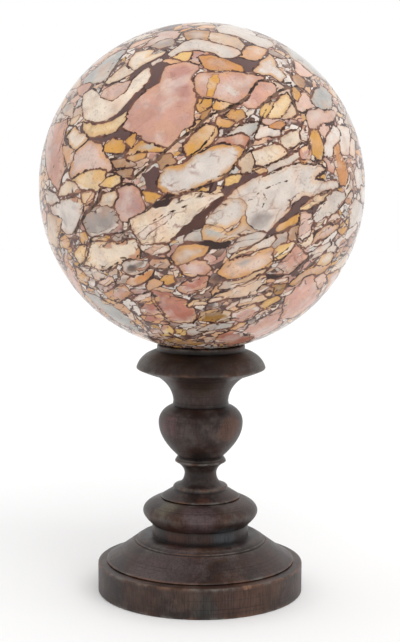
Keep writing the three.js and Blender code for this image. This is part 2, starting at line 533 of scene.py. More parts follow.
S, F = Stone, Fragment
LAID = (
    # pools of dark matrix
    F(S.MATRIX, (124, 88, 130, 76, 140, 67, 152, 61, 163, 53, 172, 52, 175, 60, 166, 68, 165, 80, 152, 90, 142, 102,
                 132, 116, 124, 124, 112, 118, 120, 104), halo=0.1),
    F(S.MATRIX, (225, 57, 238, 57, 255, 60, 261, 61, 261, 68, 255, 71, 243, 72, 241, 65, 232, 61), halo=0.1),
    F(S.MATRIX, (142, 174, 155, 167, 159, 172, 158, 182, 157, 188, 161, 193, 148, 191, 146, 182), halo=0.1),
    F(S.MATRIX, (222, 190, 225, 182, 241, 177, 255, 174, 268, 172, 250, 181, 241, 186, 229, 197, 224, 198), halo=0.1),
    F(S.MATRIX, (266, 236, 270, 229, 285, 215, 292, 203, 304, 194, 311, 197, 303, 207, 295, 212, 280, 226, 274, 234),
                 halo=0.1),
    F(S.MATRIX, (302, 211, 312, 205, 319, 205, 314, 213, 307, 214), halo=0.1),
    F(S.CRACK, (181, 245, 193, 242, 212, 240, 232, 241, 227, 249, 214, 248, 200, 246, 191, 246), halo=0.1),
    F(S.MATRIX, (142, 252, 151, 255, 167, 258, 154, 260, 149, 264, 146, 259), halo=0.1),
    F(S.MATRIX, (84, 122, 100, 126, 118, 118, 124, 118, 130, 130, 142, 139, 128, 142, 118, 138, 103, 141, 90, 139, 81,
                 133, 80, 126), halo=0.1),
    # upper left
    F(S.SALMON, (165, 68, 175, 63, 190, 63, 199, 65, 198, 69, 190, 74, 189, 79, 193, 85, 195, 95, 195, 103, 193, 113,
                 194, 120, 191, 124, 182, 131, 176, 140, 170, 146, 157, 143, 145, 139, 132, 131, 123, 125, 123, 120,
                 131, 111, 141, 96, 152, 88, 161, 83, 163, 74), veins=0.25),
    F(S.ROSE, (172, 68, 186, 64, 194, 70, 188, 80, 191, 92, 186, 106, 178, 110, 172, 100, 168, 86), veins=0.6,
               halo=0.0),
    F(S.IVORY, (148, 69, 151, 76, 146, 83, 137, 91, 127, 102, 117, 113, 106, 120, 95, 122, 86, 119, 84, 111, 83, 102,
                84, 95, 90, 91, 96, 93, 101, 97, 108, 101, 119, 94, 127, 87, 137, 77), veins=0.1),
    F(S.BLUSH, (101, 95, 104, 90, 113, 85, 123, 82, 130, 81, 128, 86, 123, 92, 113, 99, 106, 99), veins=0.5,
                halo=0.6),
    F(S.STRAW, (84, 123, 92, 125, 103, 125, 113, 122, 120, 117, 125, 113, 123, 120, 119, 125, 114, 130, 106, 134, 95,
                136, 86, 133, 83, 128), rim=0.2),
    F(S.CREAM, (105, 82, 111, 78, 117, 72, 125, 67, 132, 67, 133, 72, 126, 76, 116, 81, 108, 84)),
    F(S.CREAM, (130, 64, 130, 59, 136, 53, 148, 50, 153, 51, 148, 56, 156, 54, 167, 50, 162, 55, 152, 60, 142, 64,
                135, 69), rim=0.2),
    F(S.WHITE, (152, 63, 160, 58, 161, 60, 153, 64), halo=0.5),
    F(S.BLUSH, (146, 45, 152, 39, 161, 32, 172, 31, 181, 32, 177, 38, 166, 41, 156, 44, 142, 48)),
    F(S.GREY, (152, 46, 161, 41, 172, 39, 175, 41, 171, 45, 160, 48), halo=0.7),
    F(S.TAN, (184, 33, 194, 30, 207, 32, 207, 41, 190, 41, 185, 37), rim=0.4),
    F(S.BEIGE, (207, 33, 229, 35, 238, 39, 243, 44, 244, 50, 240, 52, 229, 46, 216, 43, 207, 41)),
    F(S.SAGE, (170, 54, 177, 48, 186, 42, 197, 40, 212, 43, 225, 46, 238, 51, 240, 54, 232, 57, 222, 57, 211, 52, 200,
               49, 193, 49, 181, 51, 172, 55)),
    F(S.GOLD, (172, 57, 182, 53, 190, 52, 189, 57, 185, 61, 176, 59)),
    F(S.ROSE, (190, 52, 201, 50, 210, 51, 207, 56, 203, 61, 207, 66, 198, 65, 191, 62, 187, 60), rim=0.3),
    F(S.PEACH, (166, 61, 176, 60, 180, 62, 171, 64), halo=0.6),
    F(S.ASH, (83, 84, 86, 77, 98, 67, 111, 56, 123, 50, 126, 51, 117, 64, 111, 72, 107, 77, 101, 81, 91, 83)),
    F(S.SALMON, (78, 88, 82, 85, 91, 84, 88, 89, 82, 96, 80, 94), halo=0.6),
    F(S.BLUSH, (70, 103, 72, 99, 80, 94, 80, 98, 75, 102), halo=0.6),
    F(S.GREY, (63, 110, 67, 105, 73, 105, 74, 110, 72, 117, 66, 115), halo=0.7),
    F(S.WHITE, (55, 120, 60, 114, 67, 116, 63, 119), halo=0.6),
    F(S.SALMON, (50, 129, 57, 124, 66, 121, 67, 127, 64, 137, 63, 146, 64, 157, 64, 169, 61, 180, 58, 189, 52, 181,
                 47, 170, 46, 157, 47, 142), veins=0.8),
    F(S.IVORY, (67, 137, 75, 126, 79, 134, 88, 135, 85, 141, 76, 149, 71, 145), rim=0.5),
    F(S.PEACH, (62, 145, 68, 147, 73, 152, 72, 158, 68, 165, 65, 158), halo=0.6),
    F(S.BLUSH, (72, 167, 72, 156, 80, 147, 91, 141, 101, 145, 104, 154, 112, 164, 111, 171, 98, 170, 85, 172, 77, 176,
                72, 177, 70, 172), rim=0.35, veins=0.2),
    F(S.GOLD, (73, 180, 82, 174, 91, 171, 105, 172, 104, 181, 98, 191, 91, 192, 83, 189, 77, 186)),
    F(S.OCHRE, (105, 145, 113, 139, 121, 140, 125, 146, 122, 151, 113, 152, 106, 152)),
    F(S.OCHRE, (126, 141, 135, 134, 136, 141, 132, 146), halo=0.6),
    F(S.OCHRE, (127, 155, 132, 149, 143, 141, 148, 143, 161, 145, 168, 147, 163, 151, 148, 151, 140, 155)),
    F(S.ASH, (141, 147, 148, 143, 157, 145, 150, 149), halo=0.0),
    F(S.OCHRE, (128, 158, 138, 155, 146, 154, 143, 159, 135, 162)),
    F(S.TAN, (111, 161, 121, 159, 131, 159, 136, 164, 126, 167, 116, 169)),
    F(S.TAN, (112, 171, 123, 169, 132, 170, 131, 176, 121, 177)),
    F(S.GOLD, (101, 185, 108, 178, 116, 174, 120, 177, 119, 182, 111, 187)),
    F(S.TAN, (158, 162, 162, 156, 170, 155, 175, 161, 172, 167, 163, 169)),
    F(S.OCHRE, (183, 146, 190, 140, 198, 133, 207, 125, 216, 127, 216, 135, 207, 144, 200, 151, 190, 156, 186, 152)),
    F(S.OCHRE, (188, 126, 197, 120, 204, 119, 198, 125, 191, 129), halo=0.6),
    F(S.OCHRE, (192, 80, 195, 79, 200, 90, 197, 91), halo=0.6),
    F(S.OCHRE, (196, 106, 197, 100, 204, 99, 212, 99, 211, 104, 205, 110, 200, 112)),
    F(S.OCHRE, (214, 109, 217, 101, 229, 102, 236, 104, 225, 109)),
    F(S.OCHRE, (225, 117, 232, 110, 242, 110, 244, 116, 234, 121)),
    F(S.OCHRE, (216, 122, 219, 118, 232, 122, 229, 126, 220, 126)),
    F(S.HONEY, (200, 119, 202, 113, 210, 110, 208, 116, 202, 121), halo=0.7),
    # middle
    F(S.WHITE, (160, 175, 168, 169, 183, 165, 197, 156, 212, 149, 222, 146, 234, 146, 244, 150, 238, 159, 228, 172,
                216, 181, 205, 184, 192, 188, 174, 195, 162, 191, 158, 187, 158, 180), rim=0.75, veins=0.9),
    F(S.BRICK, (216, 146, 220, 139, 229, 137, 241, 136, 248, 138, 244, 146, 234, 145), veins=0.2),
    F(S.ASH, (225, 135, 236, 129, 249, 125, 258, 124, 259, 127, 250, 134, 238, 137)),
    F(S.WHITE, (257, 137, 261, 127, 270, 127, 279, 129, 279, 134, 270, 136)),
    F(S.CREAM, (281, 140, 290, 134, 299, 128, 301, 136, 301, 142, 285, 149, 282, 145)),
    F(S.SAGE, (300, 132, 306, 122, 308, 129, 306, 140, 302, 139)),
    F(S.OCHRE, (311, 131, 316, 127, 320, 139, 324, 147, 324, 157, 316, 158, 312, 154, 310, 142), veins=0.1),
    F(S.CREAM, (251, 156, 252, 152, 265, 149, 275, 145, 280, 146, 288, 155, 275, 161, 266, 166, 256, 165, 252, 160),
                rim=0.15),
    F(S.BEIGE, (241, 159, 250, 152, 254, 164, 250, 171, 242, 172, 240, 165)),
    F(S.SAGE, (265, 172, 270, 166, 281, 161, 292, 155, 299, 152, 300, 157, 292, 162, 280, 167)),
    F(S.OCHRE, (254, 169, 259, 167, 265, 170, 260, 172), halo=0.6),
    F(S.GOLD, (226, 179, 236, 175, 240, 176, 237, 181, 226, 184), halo=0.6),
    F(S.SAGE, (229, 198, 241, 187, 254, 181, 270, 174, 288, 166, 300, 164, 312, 165, 322, 166, 325, 169, 317, 174,
               312, 181, 320, 182, 336, 182, 339, 186, 331, 188, 320, 193, 310, 196, 304, 194, 292, 203, 287, 211,
               280, 219, 270, 228, 266, 232, 258, 233, 247, 226, 243, 214, 246, 206, 240, 199, 230, 200), rim=0.15,
               veins=0.6),
    F(S.SAGE, (205, 220, 215, 210, 224, 203, 230, 200, 240, 199, 246, 206, 243, 215, 236, 226, 228, 232, 220, 228,
               210, 225, 203, 228), rim=0.25, veins=0.5, halo=0.35),
    F(S.BEIGE, (203, 239, 202, 231, 204, 226, 211, 225, 220, 228, 228, 233, 238, 226, 244, 217, 248, 227, 259, 233,
                248, 234, 231, 240, 219, 241), rim=0.5, veins=0.4, halo=0.35),
    F(S.ASH, (204, 231, 208, 227, 217, 227, 223, 232, 218, 236, 207, 237), halo=0.0),
    F(S.GREY, (250, 219, 256, 212, 266, 213, 273, 216, 268, 225, 259, 229, 250, 226), halo=0.0),
    F(S.CREAM, (131, 221, 142, 215, 152, 208, 163, 204, 176, 200, 192, 194, 204, 193, 212, 194, 221, 194, 223, 198,
                215, 205, 205, 211, 196, 220, 186, 229, 173, 238, 166, 242, 152, 243, 142, 242, 136, 235, 132, 228),
                rim=0.1, veins=1.0),
    F(S.RUST, (223, 198, 216, 207, 206, 216, 202, 226, 188, 232, 172, 239, 182, 231, 191, 223, 198, 214, 207, 209,
               217, 201), halo=0.5),
    F(S.ASH, (184, 240, 190, 233, 198, 229, 203, 228, 203, 240, 193, 241)),
    F(S.ROSE, (118, 191, 133, 186, 136, 188, 145, 209, 143, 213, 131, 219, 126, 221, 121, 220, 115, 208, 116, 200)),
    F(S.OCHRE, (145, 193, 155, 193, 161, 195, 153, 203, 147, 201)),
    F(S.CRACK, (152, 206, 161, 199, 168, 194, 173, 196, 167, 203, 157, 206), halo=0.4),
    # left
    F(S.WHITE, (50, 208, 52, 206, 62, 201, 75, 198, 82, 201, 83, 208, 80, 216, 75, 226, 72, 234, 66, 234, 62, 228, 56,
                218), veins=0.1),
    F(S.CREAM, (59, 195, 61, 189, 66, 182, 74, 184, 78, 189, 80, 191, 72, 193, 65, 195)),
    F(S.SAGE, (45, 191, 50, 191, 56, 196, 59, 201, 51, 204, 47, 203)),
    F(S.PEACH, (82, 194, 88, 193, 95, 193, 92, 200, 86, 205, 83, 200)),
    F(S.CREAM, (101, 203, 103, 195, 107, 193, 115, 191, 116, 196, 112, 206, 106, 208, 98, 206), rim=0.3),
    F(S.GREY, (83, 221, 85, 215, 93, 209, 103, 207, 113, 209, 118, 218, 121, 224, 116, 230, 106, 233, 91, 235, 86,
               230), veins=0.2),
    F(S.ROSE, (113, 229, 116, 223, 120, 222, 122, 227, 118, 231), halo=0.0),
    F(S.CREAM, (90, 243, 106, 243, 113, 244, 123, 241, 135, 240, 137, 245, 140, 251, 140, 258, 130, 260, 118, 264,
                108, 268, 100, 270, 91, 267, 85, 266, 87, 256), rim=0.3, veins=0.15),
    F(S.STRAW, (75, 254, 80, 246, 86, 245, 86, 254, 83, 261, 80, 264), rim=0.3),
    F(S.OCHRE, (80, 234, 85, 231, 87, 238, 86, 244, 82, 243), halo=0.6),
    F(S.OCHRE, (92, 240, 95, 238, 106, 237, 112, 236, 106, 241), halo=0.6),
    F(S.GREY, (113, 238, 121, 234, 127, 236, 123, 240, 117, 241), halo=0.6),
    F(S.BEIGE, (142, 248, 145, 243, 156, 244, 167, 245, 168, 249, 163, 253, 152, 254, 143, 251), veins=0.5),
    F(S.SLATE, (123, 264, 136, 260, 146, 258, 148, 264, 143, 270, 133, 275, 123, 271)),
    F(S.ORANGE, (128, 283, 131, 279, 140, 273, 148, 268, 153, 270, 152, 275, 143, 281, 132, 286)),
    F(S.GREY, (116, 284, 120, 278, 128, 273, 130, 276, 126, 283), halo=0.7),
    F(S.BLUSH, (97, 284, 106, 278, 112, 278, 113, 281, 106, 285), halo=0.7),
    F(S.SAGE, (80, 267, 90, 268, 98, 271, 105, 276, 98, 279, 86, 274), halo=0.7),
    F(S.BEIGE, (150, 264, 152, 260, 167, 260, 170, 264, 166, 268, 155, 267)),
    F(S.ROSE, (178, 266, 185, 263, 196, 260, 206, 261, 210, 268, 204, 274, 192, 276, 184, 273), rim=0.2),
    F(S.TAN, (172, 258, 180, 247, 196, 245, 208, 247, 204, 254, 192, 260, 177, 265), rim=0.5, veins=0.8),
    F(S.OCHRE, (161, 281, 165, 276, 173, 276, 176, 283, 167, 285)),
    F(S.BRICK, (178, 288, 188, 281, 198, 277, 207, 278, 205, 288, 198, 291, 188, 295, 181, 291)),
    F(S.BRICK, (153, 291, 158, 291, 170, 294, 176, 299, 185, 300, 190, 305, 195, 315, 192, 323, 180, 323, 171, 321,
                163, 314, 158, 305), veins=0.6),
    F(S.BRICK, (141, 309, 146, 303, 153, 300, 158, 306, 162, 314, 156, 316, 145, 314), veins=0.6),
    F(S.BRICK, (142, 317, 161, 315, 168, 323, 156, 323, 146, 320)),
    F(S.SALMON, (133, 300, 142, 295, 151, 293, 150, 299, 140, 303)),
    F(S.ASH, (85, 293, 96, 295, 103, 301, 111, 304, 121, 309, 128, 316, 135, 325, 138, 330, 123, 325, 108, 315, 95,
              304), veins=0.1),
    F(S.PEACH, (104, 299, 113, 300, 125, 307, 134, 315, 143, 325, 146, 330, 135, 322, 120, 310), halo=0.6),
    F(S.GOLD, (160, 331, 165, 325, 170, 326, 174, 331, 171, 335, 162, 336)),
    F(S.BLUSH, (150, 329, 158, 328, 161, 333, 153, 333), halo=0.7),
    F(S.HONEY, (160, 338, 175, 338, 190, 341, 204, 343, 204, 346, 185, 345, 170, 342)),
    F(S.GOLD, (176, 329, 186, 330, 184, 335, 176, 334), halo=0.7),
    F(S.GREY, (184, 332, 198, 326, 206, 326, 204, 331, 192, 336)),
    # right
    F(S.ORANGE, (200, 57, 207, 56, 212, 55, 222, 59, 234, 64, 241, 67, 243, 70, 240, 72, 229, 71, 216, 70, 205, 67,
                 201, 62), rim=0.3),
    F(S.SALMON, (196, 79, 200, 75, 212, 73, 231, 72, 248, 75, 259, 77, 263, 78, 255, 81, 252, 87, 250, 92, 244, 100,
                 238, 103, 225, 101, 212, 97, 200, 96, 197, 91), rim=0.15),
    F(S.OCHRE, (207, 95, 209, 84, 213, 74, 219, 74, 215, 86, 212, 96), halo=0.2),
    F(S.WHITE, (225, 87, 230, 86, 237, 89, 240, 94, 234, 96, 228, 92), halo=0.0),
    F(S.SALMON, (241, 103, 250, 94, 255, 87, 260, 82, 272, 82, 277, 88, 275, 94, 267, 99, 261, 105, 256, 109, 247,
                 107)),
    F(S.PEACH, (238, 57, 245, 51, 250, 47, 256, 46, 266, 49, 265, 55, 260, 60, 250, 59), rim=0.2),
    F(S.SAGE, (216, 28, 225, 25, 241, 27, 256, 34, 270, 41, 272, 45, 266, 48, 256, 45, 250, 42, 241, 37, 229, 34, 220,
               32), veins=0.2),
    F(S.WHITE, (255, 71, 261, 66, 261, 61, 270, 55, 274, 61, 276, 67, 281, 71, 284, 76, 280, 81, 270, 75, 260, 73),
                rim=0.5),
    F(S.BLUSH, (295, 62, 300, 60, 307, 66, 312, 74, 308, 77, 300, 76, 296, 70)),
    F(S.TAN, (294, 77, 299, 76, 304, 80, 302, 88, 296, 83)),
    F(S.BLUSH, (296, 103, 299, 96, 306, 94, 311, 100, 315, 105, 309, 107, 302, 112, 298, 110)),
    F(S.ASH, (311, 100, 316, 90, 321, 86, 330, 91, 332, 100, 331, 109, 322, 110, 316, 105)),
    F(S.STRAW, (266, 115, 271, 106, 280, 99, 287, 94, 291, 101, 286, 110, 281, 116, 272, 117), rim=0.3),
    F(S.GOLD, (260, 111, 265, 105, 274, 101, 270, 107, 264, 116, 260, 115), halo=0.7),
    F(S.BEIGE, (284, 118, 290, 109, 292, 104, 297, 114, 292, 118)),
    F(S.OCHRE, (293, 90, 295, 88, 299, 94, 297, 100, 294, 97), halo=0.6),
    F(S.BLUSH, (264, 121, 270, 119, 278, 120, 284, 122, 276, 125, 267, 124)),
    F(S.ORANGE, (271, 126, 280, 122, 286, 125, 280, 128), halo=0.7),
    F(S.BLUSH, (306, 116, 309, 112, 320, 110, 325, 112, 334, 111, 336, 116, 329, 122, 319, 122, 315, 129, 310, 127)),
    F(S.BLUSH, (317, 126, 320, 122, 326, 122, 329, 129, 328, 139, 322, 134)),
    F(S.WHITE, (325, 157, 325, 145, 329, 136, 334, 127, 339, 131, 339, 139, 332, 145, 332, 156)),
    F(S.ORANGE, (333, 146, 335, 143, 339, 145, 341, 155, 346, 165, 348, 175, 346, 186, 340, 186, 339, 176, 335, 166,
                 334, 156)),
    F(S.SALMON, (325, 160, 332, 159, 334, 166, 334, 174, 329, 170)),
    F(S.WHITE, (338, 126, 344, 126, 349, 129, 349, 145, 348, 155, 342, 154, 340, 144, 339, 133)),
    F(S.WHITE, (356, 166, 361, 171, 363, 188, 357, 187, 355, 175)),
    F(S.SAGE, (350, 137, 354, 141, 355, 158, 350, 153), halo=0.6),
    F(S.ROSE, (300, 149, 310, 145, 312, 154, 311, 159, 302, 160)),
    F(S.ORANGE, (299, 160, 310, 160, 315, 163, 303, 164), halo=0.6),
    F(S.SAGE, (312, 214, 320, 205, 325, 198, 335, 192, 344, 193, 346, 198, 341, 205, 334, 213, 326, 219, 319, 223,
               315, 220), veins=0.2),
    F(S.STRAW, (302, 208, 309, 203, 316, 197, 330, 192, 324, 198, 317, 204, 310, 208)),
    F(S.BEIGE, (314, 228, 320, 222, 326, 219, 327, 222, 321, 227, 315, 230)),
    F(S.BLUSH, (299, 239, 300, 225, 302, 214, 310, 214, 312, 221, 311, 231, 306, 239, 302, 241)),
    F(S.TAN, (287, 236, 292, 228, 299, 225, 299, 238, 292, 240)),
    F(S.OCHRE, (277, 230, 280, 225, 290, 219, 299, 215, 297, 222, 287, 227, 279, 232), rim=0.2),
    F(S.GREY, (272, 245, 274, 239, 277, 234, 286, 233, 287, 238, 282, 246, 276, 248)),
    F(S.SAGE, (227, 249, 232, 242, 242, 237, 257, 233, 266, 234, 264, 238, 250, 245, 237, 250, 230, 253)),
    F(S.SAGE, (231, 258, 236, 253, 252, 245, 265, 238, 274, 236, 274, 241, 270, 246, 254, 251, 240, 255)),
    F(S.PEACH, (220, 273, 225, 266, 230, 259, 241, 255, 256, 251, 270, 248, 275, 250, 274, 261, 266, 268, 255, 272,
                241, 278, 230, 278, 224, 276), rim=0.5, veins=0.2),
    F(S.GREY, (236, 264, 246, 259, 254, 258, 250, 263, 241, 267), halo=0.0),
    F(S.GOLD, (275, 250, 280, 247, 292, 244, 289, 250, 281, 258, 274, 261)),
    F(S.CREAM, (300, 243, 306, 239, 312, 234, 315, 238, 311, 243, 306, 246)),
    F(S.BLUSH, (312, 244, 316, 234, 325, 228, 334, 224, 338, 226, 330, 234, 320, 239), rim=0.5),
    F(S.PEACH, (329, 221, 332, 215, 338, 213, 340, 219, 335, 223)),
    F(S.OCHRE, (339, 228, 344, 223, 347, 228, 344, 236, 340, 234)),
    F(S.SAGE, (349, 209, 355, 200, 362, 206, 361, 219, 355, 230, 349, 234, 350, 221)),
    F(S.WHITE, (309, 254, 319, 248, 329, 243, 330, 245, 320, 254, 310, 259)),
    F(S.SALMON, (277, 266, 286, 258, 295, 247, 307, 256, 306, 258, 295, 268, 289, 273, 281, 271), veins=0.8),
    F(S.ASH, (266, 273, 272, 269, 277, 268, 281, 272, 274, 273), halo=0.7),
    F(S.CRACK, (268, 276, 275, 273, 285, 275, 278, 278, 270, 278), halo=0.4),
    F(S.ASH, (220, 288, 225, 283, 239, 280, 254, 273, 265, 270, 262, 274, 250, 280, 237, 286, 225, 288)),
    F(S.BEIGE, (211, 301, 219, 295, 231, 291, 246, 284, 259, 276, 265, 276, 264, 286, 256, 293, 241, 296, 225, 299),
                rim=0.2),
    F(S.PEACH, (266, 281, 275, 280, 287, 278, 287, 282, 275, 283), halo=0.7),
    F(S.PEACH, (290, 284, 300, 275, 309, 268, 320, 261, 330, 259, 331, 264, 325, 270, 316, 274, 306, 276, 295, 285),
                rim=0.5),
    F(S.SALMON, (284, 304, 287, 295, 295, 288, 305, 279, 312, 276, 317, 283, 320, 290, 316, 300, 306, 309, 294, 316,
                 281, 319, 284, 311), veins=0.4),
    F(S.SALMON, (242, 333, 250, 326, 262, 319, 277, 310, 282, 309, 281, 319, 280, 325, 265, 334, 252, 340, 250, 335)),
    F(S.BRICK, (216, 341, 219, 335, 231, 331, 241, 333, 252, 338, 244, 342, 231, 345)),
    F(S.ASH, (200, 330, 207, 325, 219, 323, 232, 324, 231, 326, 216, 329)),
    F(S.HONEY, (200, 320, 202, 313, 216, 311, 231, 313, 233, 320, 216, 322)),
    F(S.SALMON, (231, 320, 234, 314, 244, 309, 254, 305, 261, 310, 254, 316, 242, 321)),
    F(S.BRICK, (227, 308, 232, 303, 239, 301, 237, 309, 232, 311), halo=0.7),
    F(S.ORANGE, (239, 305, 241, 300, 255, 298, 267, 294, 266, 299, 254, 302)),
    F(S.GOLD, (260, 306, 267, 300, 277, 296, 280, 299, 270, 305, 264, 309), rim=0.4),
    F(S.TAN, (259, 291, 265, 286, 272, 289, 271, 296, 265, 294)),
    F(S.HONEY, (271, 285, 280, 283, 286, 284, 281, 293, 276, 295, 274, 290), rim=0.5),
    F(S.WHITE, (282, 295, 296, 287, 290, 293, 284, 296), halo=0.5),
    F(S.CREAM, (317, 264, 322, 257, 331, 252, 334, 256, 330, 262, 323, 266), rim=0.4, halo=0.7),
    F(S.CREAM, (332, 270, 338, 262, 346, 254, 349, 256, 342, 266, 335, 272), halo=0.6),
    F(S.BLUSH, (315, 279, 322, 275, 327, 280, 320, 288), halo=0.6),
    F(S.WHITE, (336, 242, 346, 232, 356, 224, 358, 227, 348, 237, 338, 246), halo=0.6),
    F(S.WHITE, (138, 236, 150, 226, 165, 217, 172, 214, 166, 221, 152, 231, 142, 238), veins=0.8, halo=0.3),
)

CRACKED = (
    Crack(0.35, (138, 227, 147, 226, 156, 219, 166, 213, 177, 210, 190, 204, 201, 202)),
    Crack(0.3, (150, 240, 160, 231, 171, 226, 180, 217, 186, 212)),
    Crack(0.3, (240, 203, 252, 199, 262, 190, 276, 184, 290, 180)),
    Crack(0.3, (262, 190, 266, 199, 262, 208)),
    Crack(1.0, (258, 81, 254, 87, 249, 93, 244, 99, 240, 103, 232, 106, 222, 111, 212, 114, 205, 120, 194, 129, 181,
                138, 168, 148, 158, 160, 147, 167, 138, 174, 131, 182)),
    Crack(0.8, (256, 82, 264, 80, 272, 81, 283, 83, 291, 83, 292, 75, 292, 66, 290, 57)),
    Crack(1.0, (291, 82, 291, 93, 293, 102, 296, 108, 297, 113)),
    Crack(1.0, (288, 86, 283, 89, 277, 93, 270, 98, 264, 103, 258, 108)),
    Crack(0.9, (285, 90, 295, 86, 304, 89, 311, 96)),
    Crack(0.75, (271, 102, 266, 110, 262, 118, 259, 126, 256, 133, 252, 141, 248, 149, 244, 155, 238, 160, 232, 168,
                 227, 175, 224, 181, 223, 188)),
    Crack(0.5, (252, 120, 259, 122, 262, 118, 268, 117, 276, 118, 284, 119)),
    Crack(0.5, (240, 160, 240, 168, 241, 175)),
    Crack(0.6, (198, 188, 208, 183, 216, 177, 224, 175, 236, 174, 245, 173, 253, 171, 262, 167, 275, 162, 287, 155)),
    Crack(0.5, (262, 177, 278, 171, 290, 166, 300, 162, 312, 164, 322, 162)),
    Crack(0.5, (298, 127, 300, 135, 301, 143, 290, 148, 284, 152)),
    Crack(0.6, (204, 97, 200, 105, 206, 112, 214, 113)),
    Crack(0.7, (216, 124, 214, 132, 208, 140, 200, 149, 190, 156)),
    Crack(0.5, (219, 127, 228, 128, 238, 126, 250, 123)),
    Crack(0.5, (240, 44, 244, 50, 238, 57)),
    Crack(1.2, (101, 188, 99, 196, 96, 204, 90, 210, 85, 215, 79, 225, 75, 233)),
    Crack(0.6, (61, 230, 61, 245, 59, 256)),
    Crack(0.8, (128, 221, 128, 228, 125, 231, 120, 233)),
    Crack(0.9, (91, 238, 89, 250, 86, 260, 82, 265)),
    Crack(0.6, (143, 212, 148, 207, 155, 205, 163, 199, 170, 198, 180, 195, 190, 190, 200, 187)),
    Crack(0.7, (108, 269, 113, 266, 118, 262)),
    Crack(0.9, (121, 258, 126, 258)),
    Crack(0.6, (151, 300, 158, 309, 163, 316, 169, 321)),
    Crack(0.5, (136, 239, 138, 246, 142, 252, 136, 258)),
    Crack(0.7, (150, 267, 158, 269, 167, 269, 178, 268)),
    Crack(0.5, (152, 257, 165, 259, 172, 256)),
    Crack(0.5, (60, 262, 70, 272, 78, 282, 90, 288, 102, 290, 114, 296)),
    Crack(0.9, (136, 39, 127, 50, 118, 62, 110, 76, 103, 86, 99, 93)),
    Crack(0.5, (128, 50, 120, 58, 112, 64, 108, 72)),
    Crack(0.5, (66, 122, 63, 138, 57, 160, 48, 180)),
    Crack(0.5, (230, 257, 243, 250, 256, 243, 274, 234, 288, 229)),
    Crack(0.5, (220, 279, 232, 280, 244, 278, 264, 268, 275, 258, 291, 246, 311, 235)),
    Crack(0.4, (310, 194, 328, 193, 343, 187, 352, 184)),
    Crack(0.4, (312, 219, 318, 211, 328, 199)),
    Crack(0.5, (295, 231, 298, 243, 308, 250)),
    Crack(0.4, (215, 302, 234, 300, 256, 294, 271, 289)),
    Crack(0.5, (265, 317, 281, 312, 284, 294)),
    Crack(0.4, (304, 279, 309, 292)),
    Crack(0.4, (200, 286, 206, 300, 206, 316, 208, 330)),
)


